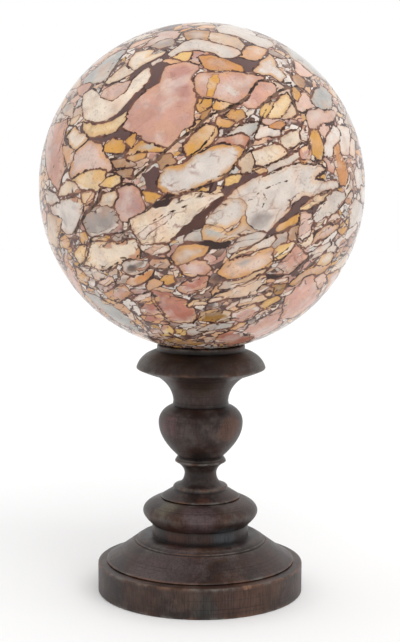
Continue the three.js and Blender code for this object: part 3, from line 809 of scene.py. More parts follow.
@dataclass
class StoneLayout:
    """Lays fragments over a ball, in layers that a shader can paint one over another.

    Fragments that nearly touch go on different layers, so that each layer's colour is even right up to its edges.
    """

    centre: Vector
    radius: float
    view: Viewpoint
    layers: int = LAYERS
    margin: float = 3.2  # least gap between fragments of one layer
    bedding: tuple[float, float, float] = (-0.44, 0.28, 0.85)  # across the run of the fragments
    seed: int = 20
    sharp: float = 0.25  # how far a laid fragment's edges are moved out
    loose_cracks: int = 70

    SIZES = ((25.0, 70), (19.0, 160), (14.0, 260), (10.0, 450), (7.0, 900), (5.0, 1000))  # half length, tries
    OVERLAP = 0.4  # how deep a fragment lies on another one before it goes on a higher layer
    CLEARANCE = 0.1  # how far a layer's other fragments stay outside the margin
    ROOM = 0.55  # share of a loose fragment's half length that is free round its middle
    STRIDE = 0.09  # length of one step of a wandering crack, as a share of the radius
    REACH_OF_CRACK = 0.985  # cosine of the angle within which a crack's step is measured
    BENDING = 0.35  # how unevenly its steps turn
    STEPS = (3, 9)  # least number of them, and one more than the most
    CRACK_WIDTHS = (0.4, 1.1)
    LENGTHS = (0.8, 1.3)  # a loose fragment's half length against its size
    SLIMNESS = (1.3, 3.2)  # its length against its width
    RAGGED = (0.6, 1.25)  # how far its corners lie from its middle
    UNEVEN = 0.33  # how unevenly they are spaced
    LEAN = 0.35  # how far it lies off the bedding, in radians
    RIMS = (0, 0.2, 0.4, 0.7)
    HALOS = (0.6, 1.1)
    VEINS = (0, 0.8)
    BARE = -9.0  # depth where a layer holds no fragment
    WIDER = 6.0  # how far round a fragment its distances are stored
    LOOSE = (  # how often each kind comes up
        (S.CREAM, 14), (S.WHITE, 13), (S.BEIGE, 12), (S.BLUSH, 12), (S.SALMON, 10), (S.PEACH, 9), (S.OCHRE, 8),
        (S.GOLD, 6), (S.GREY, 6), (S.ROSE, 5), (S.ASH, 5), (S.SAGE, 5), (S.BRICK, 4), (S.TAN, 4), (S.MATRIX, 6),
        (S.ORANGE, 3),
    )

    def lay(self, mesh: bpy.types.Mesh) -> int:
        """Lay every fragment and store the layers on the mesh.

        Args:
            mesh: The ball's mesh, in metres.

        Returns:
            How many fragments were laid.
        """
        self.measure(mesh)
        draw = np.random.default_rng(self.seed)
        laid = sum(self.place(piece, self.aims(piece.corners), draw, True) for piece in LAID)
        for crack in CRACKED:
            self.crack(self.aims(crack.course), crack.wide)
        for _ in range(self.loose_cracks):
            self.crack(self.wandering(draw), draw.uniform(*self.CRACK_WIDTHS))
        laid += self.scatter(draw)
        store(mesh, "crack", "FLOAT", self.split)
        for at in range(self.layers):
            store(mesh, f"depth_{at}", "FLOAT", self.depth[at])
            store(mesh, f"tone_{at}", "FLOAT_COLOR", self.tone[at])
            store(mesh, f"style_{at}", "FLOAT_VECTOR", self.style[at])
        return laid

    def measure(self, mesh: bpy.types.Mesh) -> None:
        """Take the directions of the mesh's points, and start with bare stone at each of them.

        Args:
            mesh: The ball's mesh, in metres.
        """
        count = len(mesh.vertices)
        spots = np.empty(count * 3, np.float32)
        mesh.vertices.foreach_get("co", spots)
        spots = spots.reshape(-1, 3).astype(float) / MM - np.array(self.centre)
        self.spots = spots / np.linalg.norm(spots, axis=1)[:, None]
        self.depth = np.full((self.layers, count), self.BARE)
        self.tone = np.zeros((self.layers, count, 4), np.float32)
        self.style = np.zeros((self.layers, count, 3), np.float32)
        self.split = np.full(count, self.BARE)
        self.taken = np.full(count, -self.radius)  # depth in the nearest fragment of any layer

    def scatter(self, draw: np.random.Generator) -> int:
        """Lay fragments of no given shape wherever the stone is still bare.

        Args:
            draw: The random numbers.

        Returns:
            How many were laid.
        """
        laid = 0
        kinds, weights = zip(*self.LOOSE)
        weights = np.array(weights) / sum(weights)
        for size, tries in self.SIZES:
            for _ in range(tries):
                aim = unit(draw.normal(size=3))
                near = self.taken[np.argmax(self.spots @ aim)]
                reach = size * draw.uniform(*self.LENGTHS)
                kind = kinds[draw.choice(len(kinds), p=weights)]
                if near < -self.ROOM * reach:
                    rim, veins, halo = draw.choice(self.RIMS), draw.uniform(*self.VEINS), draw.uniform(*self.HALOS)
                    piece = Fragment(kind, (), rim, veins, halo)
                    laid += self.place(piece, self.broken(aim, reach, draw), draw, False)
        return laid

    def aims(self, points: tuple[float, ...]) -> np.ndarray:
        """The directions from the ball's centre to what picture points show."""
        spots = zip(points[::2], points[1::2])
        return np.array([self.view.on_ball(spot, self.centre, self.radius) for spot in spots])

    def crack(self, course: np.ndarray, wide: float) -> None:
        """Mark how close every vertex lies to a crack.

        Args:
            course: The directions of the points that it runs through.
            wide: Half its width.
        """
        for ends in zip(course, course[1:]):
            middle = unit(ends[0] + ends[1])
            near = np.flatnonzero(self.spots @ middle > self.REACH_OF_CRACK)
            away = from_edge(self.flat(self.spots[near], middle), *self.flat(np.array(ends), middle))
            self.split[near] = np.maximum(self.split[near], wide - away)

    def wandering(self, draw: np.random.Generator) -> np.ndarray:
        """Draw a crack of no given course on a side that the picture does not show.

        Args:
            draw: The random numbers.

        Returns:
            The directions of its points.
        """
        aim = unit(draw.normal(size=3))
        aim[1] = abs(aim[1])
        run = np.cross(self.bedding, aim) + draw.normal(0, 0.5, 3)
        course = [aim]
        for _ in range(draw.integers(*self.STEPS)):
            aim = unit(aim + (unit(run) + draw.normal(0, self.BENDING, 3)) * self.STRIDE)
            course.append(aim)
        return np.array(course)

    def broken(self, aim: np.ndarray, reach: float, draw: np.random.Generator) -> np.ndarray:
        """Break off a fragment of no given shape, longer along the bedding.

        Args:
            aim: The direction of its middle.
            reach: Its half length in millimetres.
            draw: The random numbers.

        Returns:
            The directions of its corners.
        """
        run = unit(np.cross(self.bedding, aim))
        side = np.cross(aim, run)
        lean = draw.normal(0, self.LEAN)
        run, side = run * math.cos(lean) + side * math.sin(lean), side * math.cos(lean) - run * math.sin(lean)
        count = draw.integers(4, 7)
        turns = (np.arange(count) + draw.uniform(-self.UNEVEN, self.UNEVEN, count)) * 2 * math.pi / count
        long, slim = reach / self.radius, reach / self.radius / draw.uniform(*self.SLIMNESS)
        far = draw.uniform(*self.RAGGED, count)
        corners = aim + np.outer(long * far * np.cos(turns), run) + np.outer(slim * far * np.sin(turns), side)
        return corners / np.linalg.norm(corners, axis=1)[:, None]

    def place(self, piece: Fragment, corners: np.ndarray, draw: np.random.Generator, surely: bool) -> bool:
        """Lay one fragment on the first layer that has room.

        Args:
            piece: The fragment.
            corners: The directions of its corners.
            draw: The random numbers.
            surely: Whether it goes down even where no layer has room.

        Returns:
            Whether it was laid.
        """
        middle = unit(np.mean(corners, axis=0))
        widest = max(math.acos(min(1.0, corner @ middle)) for corner in corners) * self.radius + self.WIDER
        near = np.flatnonzero(self.spots @ middle > math.cos(min(widest / self.radius, 1.5)))
        outline = let_out(self.flat(corners, middle), self.sharp if surely else 0.0)
        inside = depth_in(self.flat(self.spots[near], middle), outline)
        close, within = near[inside > -self.margin], near[inside > self.OVERLAP]
        if not len(within):
            return False
        lowest = 1 + max((at for at in range(self.layers) if self.depth[at][within].max() > self.OVERLAP), default=-1)
        free = [at for at in range(lowest, self.layers) if self.depth[at][close].max() < -self.CLEARANCE]
        if not free and not surely:
            return False
        at = free[0] if free else self.layers - 1
        nearer = inside > self.depth[at][near]
        over = near[nearer]
        self.depth[at][over] = inside[nearer]
        self.tone[at][over] = (*linear(piece.stone.value), piece.halo)
        self.style[at][over] = (-1.0 if piece.is_matrix else piece.rim, piece.veins, draw.uniform(-1, 1))
        self.taken[near] = np.maximum(self.taken[near], inside)
        return True

    def flat(self, aims: np.ndarray, middle: np.ndarray) -> np.ndarray:
        """Spread directions flat round one of them, in millimetres.

        Args:
            aims: The directions.
            middle: The one that they spread from.

        Returns:
            Their places in the plane.
        """
        east = unit(np.cross((0, 0, 1) if abs(middle[2]) < 0.9 else (1, 0, 0), middle))
        north = np.cross(middle, east)
        cosine = np.clip(aims @ middle, -1, 1)
        side = aims - cosine[:, None] * middle
        length = np.maximum(np.linalg.norm(side, axis=1), 1e-9)
        return np.column_stack((side @ east, side @ north)) * (self.radius * np.arccos(cosine) / length)[:, None]


def from_edge(spots: np.ndarray, start: np.ndarray, end: np.ndarray) -> np.ndarray:
    """Measure how far points lie from a straight edge.

    Args:
        spots: The points.
        start: Where the edge starts.
        end: Where it ends.

    Returns:
        The distances.
    """
    edge, off = end - start, spots - start
    share = np.clip(off @ edge / max(edge @ edge, TINY), 0, 1)
    return np.hypot(*(off - share[:, None] * edge).T)


def let_out(corners: np.ndarray, by: float) -> np.ndarray:
    """Move an outline's edges outward and keep its corners sharp.

    Args:
        corners: The outline's corners.
        by: How far.

    Returns:
        The new corners.
    """
    ahead = np.roll(corners, -1, axis=0) - corners
    across, down = corners.T
    turning = np.sign(np.sum(across * np.roll(down, -1) - down * np.roll(across, -1)))
    out = np.column_stack((ahead[:, 1], -ahead[:, 0])) * turning / np.linalg.norm(ahead, axis=1)[:, None]
    both = out + np.roll(out, 1, axis=0)
    return corners + both * by / np.maximum((both**2).sum(axis=1) / 2, 0.3)[:, None]


def depth_in(spots: np.ndarray, corners: np.ndarray) -> np.ndarray:
    """Measure how deep points lie inside a flat outline.

    Args:
        spots: The points.
        corners: The outline's corners.

    Returns:
        The distance to the outline, above zero inside it.
    """
    nearest = np.full(len(spots), 1e9)
    inside = np.zeros(len(spots), bool)
    for start, end in zip(corners, np.roll(corners, -1, axis=0)):
        nearest = np.minimum(nearest, from_edge(spots, start, end))
        edge, off = end - start, spots - start
        crosses = (start[1] > spots[:, 1]) != (end[1] > spots[:, 1])
        rise = edge[1] if abs(edge[1]) > TINY else TINY
        inside ^= crosses & (off[:, 0] < edge[0] * off[:, 1] / rise)
    return np.where(inside, nearest, -nearest)


@dataclass(frozen=True)
class BrecciaMarble:
    """Polished breccia: fragments of many stones in a dark matrix, with fine rubble between them."""

    name: str = "breccia_marble"
    layers: int = LAYERS
    polish: float = 0.09
    dull: float = 0.24  # roughness of the matrix and of the cracks
    albedo: float = 0.82
    gloss: float = 0.28
    warmth: tuple[float, float, float] = (1.03, 0.985, 0.94)
    line: tuple[int, int] = (0x45302D, 0x80584A)  # round the fragments, where it is dark and where it is pale
    matrix: tuple[int, int] = (0x4E3836, 0x806660)
    crack: tuple[int, int] = (0x35261F, 0x755A4C)
    splinter_line: int = 0x664A42
    vein: int = 0x99695A
    heart: int = 0xF1E9E4  # the pale middle of a stained fragment
    stain: int = 0xDDA55E
    rind: int = 0x9A6D5C
    speck: int = 0x927970

    PLAIN = (0.0, 0.2, 0.0)  # rim, veins and shade of the rubble
    DEEP = 4.0  # depth that the rubble counts as having
    RUBBLE = (  # where each colour starts in a draw from 0 to 1
        (0.0, 0x5E4844), (0.09, 0xDCC0AC), (0.22, 0xC09488), (0.3, 0xEBDCCC), (0.42, 0xD3A598), (0.52, 0xD9A85F),
        (0.58, 0xCFCCC8), (0.68, 0x9A7A6E), (0.74, 0xF0E8E2), (0.88, 0xE2B898),
    )
    SPLINTERS = (  # which draw, from where in it, share, colour
        (0, 0.62, 0.8, 0xF2E8E2), (1, 0.8, 0.6, 0xEBBE80), (1, 0.9, 0.8, 0xC0897A),
    )
    CLOUDS = ((0.0, 10.0), (0.4, 15.0), (0.8, 9.0), (1.2, 12.0), (1.6, 18.0))  # shift in metres, size
    TINTS = (  # which cloud, from where in it, share, colour
        (1, 0.48, 0.42, 0xE3B494), (2, 0.5, 0.42, 0xB8ACAC), (3, 0.48, 0.4, 0xF4ECE5),
    )
    VEINS = ((17.0, 0.05), (7.5, 0.06))  # size, width as a share of it

    def make(self) -> bpy.types.Material:
        """Write the material.

        Returns:
            The material.
        """
        material, sheet, shader, place = material_sheet(self.name)
        beds = self.beds(sheet, place)
        chips = sheet.split(sheet.cells(beds, 4.6)["Color"])[0]
        kinks = sheet.cells(beds, 7.0, distance="MANHATTAN")["Distance"]
        fray = sheet.math("MULTIPLY_ADD", sheet.noise(place, 2.6, 3.0, 0.6), 0.6, -1.43)
        fray = sheet.math("MULTIPLY_ADD", kinks, 1.4, fray)
        fray = sheet.math("MULTIPLY_ADD", chips, 0.7, fray)
        thick = sheet.span(sheet.noise(place, 5.0, 3.0, 0.6), 0.38, 0.6, 0.3, 1.5)
        colour, dark = self.rubble(sheet, place, beds)
        style, depth = self.PLAIN, self.DEEP
        line = sheet.mix(sheet.span(sheet.noise(place, 8.0, 3.0), 0.42, 0.6), *map(linear, self.line))
        for at in range(self.layers):
            lies = sheet.plus(sheet.attribute(f"depth_{at}"), fray)
            tone = sheet.add("ShaderNodeAttribute", attribute_name=f"tone_{at}")
            lined = sheet.math("GREATER_THAN", tone.outputs["Alpha"], 0.05)
            reach = sheet.math("MULTIPLY_ADD", tone.outputs["Alpha"], thick, lies)
            halo = sheet.times(sheet.math("GREATER_THAN", reach, 0.0), lined)
            soft = sheet.between(lined, 2.4, 0.1)
            inner = sheet.span(lies, sheet.times(soft, -0.6), soft)
            colour = sheet.mix(halo, colour, line)
            colour = sheet.mix(inner, colour, tone.outputs["Color"])
            style = sheet.mix(inner, style, sheet.attribute(f"style_{at}", "Vector"), "VECTOR")
            depth = sheet.between(sheet.times(inner, lined), depth, lies)
            dark = sheet.between(inner, sheet.between(halo, dark, 1.0), 0.0)
        pools = sheet.math("LESS_THAN", sheet.split(style)[0], -0.5)
        dark = sheet.math("MAXIMUM", dark, pools)
        colour, dark = self.splinters(sheet, place, beds, colour, depth, dark)
        colour, dark = self.figure(sheet, place, colour, style, depth, dark)
        sheet.feed(shader.inputs["Base Color"], colour)
        rough = sheet.span(sheet.noise(place, 6.0, 3.0), 0.3, 0.7, self.polish, self.polish + 0.05)
        sheet.feed(shader.inputs["Roughness"], sheet.between(dark, rough, self.dull))
        sheet.feed(shader.inputs["Specular IOR Level"], self.gloss)
        height = sheet.less(sheet.times(sheet.noise(place, 1.2), 0.12), dark)
        bump = sheet.add("ShaderNodeBump", {"Strength": 0.06, "Distance": 0.0001, "Height": height})
        sheet.feed(shader.inputs["Normal"], bump.outputs[0])
        return material

    def beds(self, sheet: Wiring, place: Socket) -> Socket:
        """Tip and squeeze the coordinates so that what is broken up lies along the bedding.

        Args:
            sheet: The material's wiring.
            place: The coordinates.

        Returns:
            The coordinates along the bedding, stirred a little.
        """
        return sheet.tipped(sheet.stirred(place, 14.0, 12.0), math.radians(25), (0.5, 0.6, 1.35))

    def rubble(self, sheet: Wiring, place: Socket, beds: Socket) -> tuple[Socket, Socket]:
        """Paint the fine rubble and the matrix that the fragments lie in.

        Args:
            sheet: The material's wiring.
            place: The coordinates.
            beds: The coordinates along the bedding.

        Returns:
            The colour, and how much of it is matrix.
        """
        layers = []
        for size in (7.6, 3.8):
            ramp = sheet.add("ShaderNodeValToRGB", {0: sheet.split(sheet.cells(beds, size)["Color"])[0]})
            ramp.color_ramp.interpolation = "CONSTANT"
            for at, (start, code) in enumerate(self.RUBBLE):
                stop = ramp.color_ramp.elements[at] if at < 2 else ramp.color_ramp.elements.new(start)
                stop.position = start
                stop.color = (*linear(code), 1.0)
            wide = sheet.span(sheet.noise(place, 6.0, 3.0), 0.4, 0.62, 0.045, 0.13)
            line = sheet.span(sheet.borders(beds, size), sheet.times(wide, 0.5), wide, 1.0, 0.0)
            layers.append((ramp.outputs["Color"], line))
        finer = sheet.span(sheet.noise(place, 16.0, 2.0), 0.46, 0.54)
        colour = sheet.mix(finer, layers[0][0], layers[1][0])
        line = sheet.between(finer, layers[0][1], layers[1][1])
        pool = sheet.span(sheet.noise(place, 9.0, 3.0), 0.6, 0.64)
        dark = sheet.math("MAXIMUM", line, pool)
        matrix = sheet.mix(sheet.noise(place, 4.0, 4.0), *map(linear, self.matrix))
        return sheet.mix(dark, colour, matrix), dark

    def splinters(
        self, sheet: Wiring, place: Socket, beds: Socket, colour: Socket, depth: Socket, dark: Socket
    ) -> tuple[Socket, Socket]:
        """Break the small fragments up into long splinters, mostly on the lower half.

        Args:
            sheet: The material's wiring.
            place: The coordinates.
            beds: The coordinates along the bedding.
            colour: The flat colours.
            depth: How deep a point lies in its fragment.
            dark: How much of it is matrix.

        Returns:
            The colour, and how much of it is matrix.
        """
        slim = sheet.vector("MULTIPLY", beds, (0.5, 0.7, 1.35))
        draws = sheet.split(sheet.cells(slim, 7.0)["Color"])
        low = sheet.math("MULTIPLY_ADD", sheet.split(place)[2], -2.5, 0.64)
        broken = sheet.span(sheet.plus(sheet.noise(place, 22.0, 2.0), low), 0.57, 0.61)
        broken = sheet.times(broken, sheet.span(depth, 2.0, 3.6, 1.0, 0.0))
        broken = sheet.times(broken, sheet.less(1.0, dark), clamp=True)
        for draw, start, most, code in self.SPLINTERS:
            share = sheet.times(sheet.math("GREATER_THAN", draws[draw], start), most)
            colour = sheet.mix(sheet.times(share, broken), colour, linear(code))
        line = sheet.times(broken, sheet.span(sheet.borders(slim, 7.0), 0.015, 0.06, 1.0, 0.0))
        return sheet.mix(line, colour, linear(self.splinter_line)), sheet.math("MAXIMUM", dark, line)

    def figure(
        self, sheet: Wiring, place: Socket, colour: Socket, style: Socket, depth: Socket, dark: Socket
    ) -> tuple[Socket, Socket]:
        """Give the fragments their clouding, veins and stained rims, and draw the cracks.

        Args:
            sheet: The material's wiring.
            place: The coordinates.
            colour: The flat colours.
            style: Each fragment's rim, veins and shade.
            depth: How deep a point lies in its fragment.
            dark: How much of it is matrix.

        Returns:
            The colour, and how much of it is matrix or crack.
        """
        rim, veins, shade = sheet.split(style)
        stone = sheet.less(1.0, dark)
        clouds = [sheet.noise(sheet.vector("ADD", place, (shift, shift, 0.0)), size) for shift, size in self.CLOUDS]
        for cloud, start, most, code in self.TINTS:
            share = sheet.times(sheet.span(clouds[cloud], start, start + 0.22, 0.0, most), stone)
            colour = sheet.mix(share, colour, linear(code))
        edge = sheet.math("MULTIPLY_ADD", sheet.less(clouds[0], 0.5), -8.0, depth)
        pale = sheet.times(sheet.span(edge, 1.5, 7.0, 0.0, 0.85), rim)
        colour = sheet.mix(sheet.times(pale, stone, clamp=True), colour, linear(self.heart))
        stained = sheet.times(sheet.span(edge, 0.0, 3.4, 1.0, 0.0), sheet.plus(rim, 0.2))
        colour = sheet.mix(sheet.times(stained, stone, clamp=True), colour, linear(self.stain))
        brown = sheet.times(sheet.span(depth, 0.0, 0.9, 0.4, 0.0), stone)
        colour = sheet.mix(brown, colour, linear(self.rind))
        veined = self.veins(sheet, place, sheet.times(veins, stone))
        colour = sheet.mix(veined, colour, linear(self.vein))
        grain = sheet.noise(place, 0.8, 3.0, 0.7)
        specks = sheet.span(sheet.noise(place, 1.5, 3.0, 0.6), 0.54, 0.7, 0.0, 0.45)
        specks = sheet.times(specks, sheet.span(clouds[4], 0.46, 0.6))
        colour = sheet.mix(sheet.times(specks, stone), colour, linear(self.speck))
        lit = sheet.math("MULTIPLY_ADD", shade, 0.06, self.albedo)
        lit = sheet.math("MULTIPLY_ADD", sheet.less(clouds[0], 0.5), 0.4, lit)
        lit = sheet.math("MULTIPLY_ADD", sheet.less(grain, 0.5), 0.3, lit)
        colour = sheet.vector("SCALE", colour, lit)
        split = sheet.math("MULTIPLY_ADD", sheet.noise(place, 3.4, 4.0, 0.65), 3.2, sheet.attribute("crack"))
        split = sheet.span(split, 1.72, 1.95)
        tone = sheet.mix(sheet.span(sheet.noise(place, 5.0, 2.0), 0.42, 0.6), *map(linear, self.crack))
        colour = sheet.vector("MULTIPLY", sheet.mix(split, colour, tone), self.warmth)
        return colour, sheet.math("MAXIMUM", dark, split)

    def veins(self, sheet: Wiring, place: Socket, share: Socket) -> Socket:
        """Draw the fine healed cracks that cross the fragments.

        Args:
            sheet: The material's wiring.
            place: The coordinates.
            share: How strong they are.

        Returns:
            How much of their colour shows.
        """
        tipped = sheet.tipped(sheet.stirred(place, 9.0, 9.0), 0.5, (0.45, 0.8, 1.0))
        found = []
        for size, width in self.VEINS:
            some = sheet.span(sheet.noise(place, size * 0.9, 2.0), 0.47, 0.62)
            drawn = sheet.span(sheet.borders(tipped, size), 0.0, width, 0.7, 0.0)
            found.append(sheet.times(drawn, some))
        return sheet.times(sheet.math("MAXIMUM", *found), share, clamp=True)


# ---------------------------------------------------------------- lathe


class Outline:
    """The outline of a turned piece, from the axis at its underside up to the axis at its top."""

    STEP = 0.1  # spacing of the fine outline before it is thinned
    SOFT = 0.16  # how far a plain corner is rounded
    WEAR = (0.55, 1.5)  # how wide an outer corner is worn, and how strongly
    HOLLOW = (0.9, 2.2)  # how wide an inner corner is darkened as painted shade, and how strongly

    def __init__(self, bottom: float) -> None:
        """Start on the axis.

        Args:
            bottom: The underside's height.
        """
        self.stretches: list[np.ndarray] = []
        self.softness: list[float] = []
        self.at = (0.0, bottom)

    def line(self, radius: float, rise: float = 0.0, soft: float = SOFT) -> "Outline":
        """Go straight to a radius.

        Args:
            radius: The radius to reach.
            rise: How much higher it is.
            soft: How far the corner at its start is rounded.

        Returns:
            The outline.
        """
        end = (radius, self.at[1] + rise)
        count = max(2, int(math.dist(self.at, end) / self.STEP) + 1)
        return self._take(np.linspace(self.at, end, count), soft)

    def curve(self, radius: float, rise: float, leave: Point, arrive: Point, soft: float = SOFT) -> "Outline":
        """Sweep to a radius.

        Args:
            radius: The radius to reach.
            rise: How much higher it is.
            leave: The first handle, as a share of the width and of the rise.
            arrive: The second handle, in the same way.
            soft: How far the corner at its start is rounded.

        Returns:
            The outline.
        """
        start = np.array(self.at)
        size = np.array((radius, self.at[1] + rise)) - start
        count = max(3, int(np.abs(size).sum() / self.STEP) + 1)
        t = np.linspace(0, 1, count)[:, None]
        first, second, end = start + size * leave, start + size * arrive, start + size
        sweep = start * (1 - t) ** 3 + first * 3 * t * (1 - t) ** 2 + second * 3 * t**2 * (1 - t) + end * t**3
        return self._take(sweep, soft)

    def dish(self, ball: float) -> "Outline":
        """Go down a ball's hollow to the axis.

        Args:
            ball: The ball's radius.

        Returns:
            The outline.
        """
        edge, rim = self.at
        centre = rim + math.sqrt(ball**2 - edge**2)
        radii = np.linspace(edge, 0, int(edge / self.STEP))
        return self._take(np.column_stack((radii, centre - np.sqrt(ball**2 - radii**2))), self.SOFT)

    def _take(self, points: np.ndarray, soft: float) -> "Outline":
        """Keep a stretch and stand at its end."""
        self.stretches.append(points)
        self.softness.append(soft)
        self.at = tuple(points[-1])
        return self

    def points(self, slack: float = 0.008, longest: float = 1.4) -> np.ndarray:
        """Round the corners and thin the outline.

        Args:
            slack: How far the thinned outline may stray.
            longest: The longest straight step.

        Returns:
            Radius, height, wear on outer corners, depth of hollows and distance along, for each point.
        """
        path = np.vstack([self.stretches[0]] + [part[1:] for part in self.stretches[1:]])
        run = np.concatenate(([0], np.cumsum(np.hypot(*np.diff(path, axis=0).T))))
        fine = np.linspace(0, run[-1], int(run[-1] / self.STEP) + 1)
        path = np.column_stack([np.interp(fine, run, path[:, side]) for side in (0, 1)])
        lengths = [np.hypot(*np.diff(part, axis=0).T).sum() for part in self.stretches]
        corners = np.concatenate(([0], np.cumsum(lengths)[:-1]))
        nearest = np.abs(fine[:, None] - corners[None, :]).argmin(1)
        smooth = self._blur(path, fine, np.array(self.softness)[nearest])
        smooth[0, 0] = smooth[-1, 0] = 0.0
        turn = np.unwrap(np.arctan2(*np.gradient(smooth, fine, axis=0).T[::-1]))
        bend = np.gradient(turn, fine)
        wear, hollow = (
            np.clip(sign * self._blur(bend[:, None], fine, np.full(len(fine), wide))[:, 0] * strength, 0, 1)
            for sign, (wide, strength) in ((1, self.WEAR), (-1, self.HOLLOW))
        )
        kept = list(self._thin(smooth, slack, int(longest / self.STEP)))
        return np.column_stack((smooth, wear, hollow, fine))[kept]

    @staticmethod
    def _blur(values: np.ndarray, run: np.ndarray, width: np.ndarray) -> np.ndarray:
        """Average each value with its neighbours along the outline."""
        weight = np.exp(-0.5 * ((run[None, :] - run[:, None]) / width[:, None]) ** 2)
        return weight @ values / weight.sum(1)[:, None]

    @staticmethod
    def _thin(path: np.ndarray, slack: float, most: int) -> Iterator[int]:
        """Yield the points that keep the outline within the slack."""
        at, last = 0, len(path) - 1
        yield 0
        while at < last:
            reach = at + 1
            while reach < min(at + most, last):
                chord = path[reach + 1] - path[at]
                between = path[at + 1 : reach + 1] - path[at]
                off = np.abs(chord[0] * between[:, 1] - chord[1] * between[:, 0]) / max(np.hypot(*chord), 1e-9)
                if off.max() > slack:
                    break
                reach += 1
            at = reach
            yield at


def start_tree(name: str, inputs: Mapping[str, tuple[str, Optional[float]]]) -> tuple[Wiring, Mapping[str, Socket]]:
    """Start a tree that makes a mesh.

    Args:
        name: The tree's name.
        inputs: The kind and the value of each named input.

    Returns:
        The tree's wiring, and what its inputs give.
    """
    tree = bpy.data.node_groups.new(name, "GeometryNodeTree")
    for title, (kind, value) in inputs.items():
        port = tree.interface.new_socket(title, in_out="INPUT", socket_type="NodeSocket" + kind)
        if value is not None:
            port.default_value = value
    tree.interface.new_socket("Geometry", in_out="OUTPUT", socket_type="NodeSocketGeometry")
    sheet = Wiring(tree)
    return sheet, sheet.add("NodeGroupInput").outputs


def end_tree(sheet: Wiring, made: Socket, finish: Socket) -> None:
    """Smooth what a tree made, make it real and give it its material.

    Args:
        sheet: The tree's wiring.
        made: The mesh.
        finish: The material.
    """
    smooth = sheet.one("GeometryNodeSetShadeSmooth", {"Geometry": made})
    real = sheet.one("GeometryNodeRealizeInstances", {0: smooth})
    done = sheet.one("GeometryNodeSetMaterial", {"Geometry": real, "Material": finish})
    sheet.add("NodeGroupOutput", {0: done})


class Lathe:
    """The tree that turns an outline into a piece, with faint tool marks and small dents on its edges."""

    INPUTS = {
        "Geometry": ("Geometry", None),
        "Flats": ("Int", 256),
        "Tool Mark Depth": ("Float", 0.00002),
        "Tool Mark Pitch": ("Float", 0.0016),
        "Dent Depth": ("Float", 0.0003),
        "Seed": ("Float", 3.0),
        "Finish": ("Material", None),
    }
    DENTS = 260.0  # dents in a metre
    TOUCHING = 1e-6  # points closer than this become one, in metres

    def __init__(self) -> None:
        """Write the tree once for every turned piece."""
        sheet, given = start_tree("lathe", self.INPUTS)
        self.tree = sheet.tree
        count = sheet.one("GeometryNodeAttributeDomainSize", {0: given["Geometry"]})
        round_count = sheet.plus(given["Flats"], 1.0)
        feeds = {"Size X": 1.0, "Size Y": 1.0, "Vertices X": count, "Vertices Y": round_count}
        grid = sheet.one("GeometryNodeMeshGrid", feeds)
        index = sheet.one("GeometryNodeInputIndex")
        row = sheet.math("FLOOR", sheet.math("DIVIDE", sheet.plus(index, 0.5), round_count))
        column = sheet.less(index, sheet.times(row, round_count))
        for name in ("wear", "hollow", "along"):
            feeds = {0: given["Geometry"], 1: sheet.carried(name), "Index": row}
            sample = sheet.one("GeometryNodeSampleIndex", feeds, data_type="FLOAT")
            feeds = {"Geometry": grid, "Name": name, "Value": sample}
            grid = sheet.one("GeometryNodeStoreNamedAttribute", feeds, data_type="FLOAT")

        spot = sheet.one("GeometryNodeInputPosition")
        feeds = {0: given["Geometry"], 1: spot, "Index": row}
        outline = sheet.one("GeometryNodeSampleIndex", feeds, data_type="FLOAT_VECTOR")
        radius, _, height = sheet.split(outline)
        angle = sheet.times(sheet.math("DIVIDE", column, given["Flats"]), 2 * math.pi)
        place = sheet.joined({
            0: sheet.times(radius, sheet.math("COSINE", angle)),
            1: sheet.times(radius, sheet.math("SINE", angle)),
            2: height,
        })
        turned = sheet.one("GeometryNodeSetPosition", {"Geometry": grid, "Position": place})
        outward = sheet.one("GeometryNodeFlipFaces", {0: turned})
        closed = sheet.one("GeometryNodeMergeByDistance", {"Geometry": outward, "Distance": self.TOUCHING})

        pitch = sheet.math("DIVIDE", 1.0, given["Tool Mark Pitch"])
        shifted = sheet.plus(sheet.carried("along"), given["Seed"])
        marks = sheet.one("ShaderNodeTexNoise", {"W": shifted, "Scale": pitch}, noise_dimensions="1D")
        marks = sheet.times(sheet.less(marks, 0.5), given["Tool Mark Depth"])
        feeds = {"W": given["Seed"], "Scale": self.DENTS, "Detail": 2.0}
        dents = sheet.one("ShaderNodeTexNoise", feeds, noise_dimensions="4D")
        dents = sheet.times(sheet.span(dents, 0.56, 0.74), sheet.carried("wear"))
        push = sheet.less(marks, sheet.times(dents, given["Dent Depth"]))
        normal = sheet.one("GeometryNodeInputNormal")
        offset = sheet.vector("SCALE", normal, push)
        worked = sheet.one("GeometryNodeSetPosition", {"Geometry": closed, "Offset": offset})
        end_tree(sheet, worked, given["Finish"])

    def turn(self, name: str, outline: Outline, finish: bpy.types.Material, **settings: float) -> bpy.types.Object:
        """Turn one piece.

        Args:
            name: The piece's name.
            outline: Its outline.
            finish: Its material.
            **settings: Sizes for the tree's inputs, by name with _ for a space.

        Returns:
            The piece as a plain mesh in metres.
        """
        points = outline.points()
        mesh = bpy.data.meshes.new(name + "_outline")
        flat = [(r * MM, 0, z * MM) for r, z in points[:, :2]]
        mesh.from_pydata(flat, [(at, at + 1) for at in range(len(flat) - 1)], [])
        for key, values in (("wear", points[:, 2]), ("hollow", points[:, 3]), ("along", points[:, 4] * MM)):
            store(mesh, key, "FLOAT", values)
        blank = bpy.data.objects.new(name + "_blank", mesh)
        values = {key.replace("_", " "): value for key, value in settings.items()}
        return grown(name, blank, self.tree, {"Finish": finish, **values})


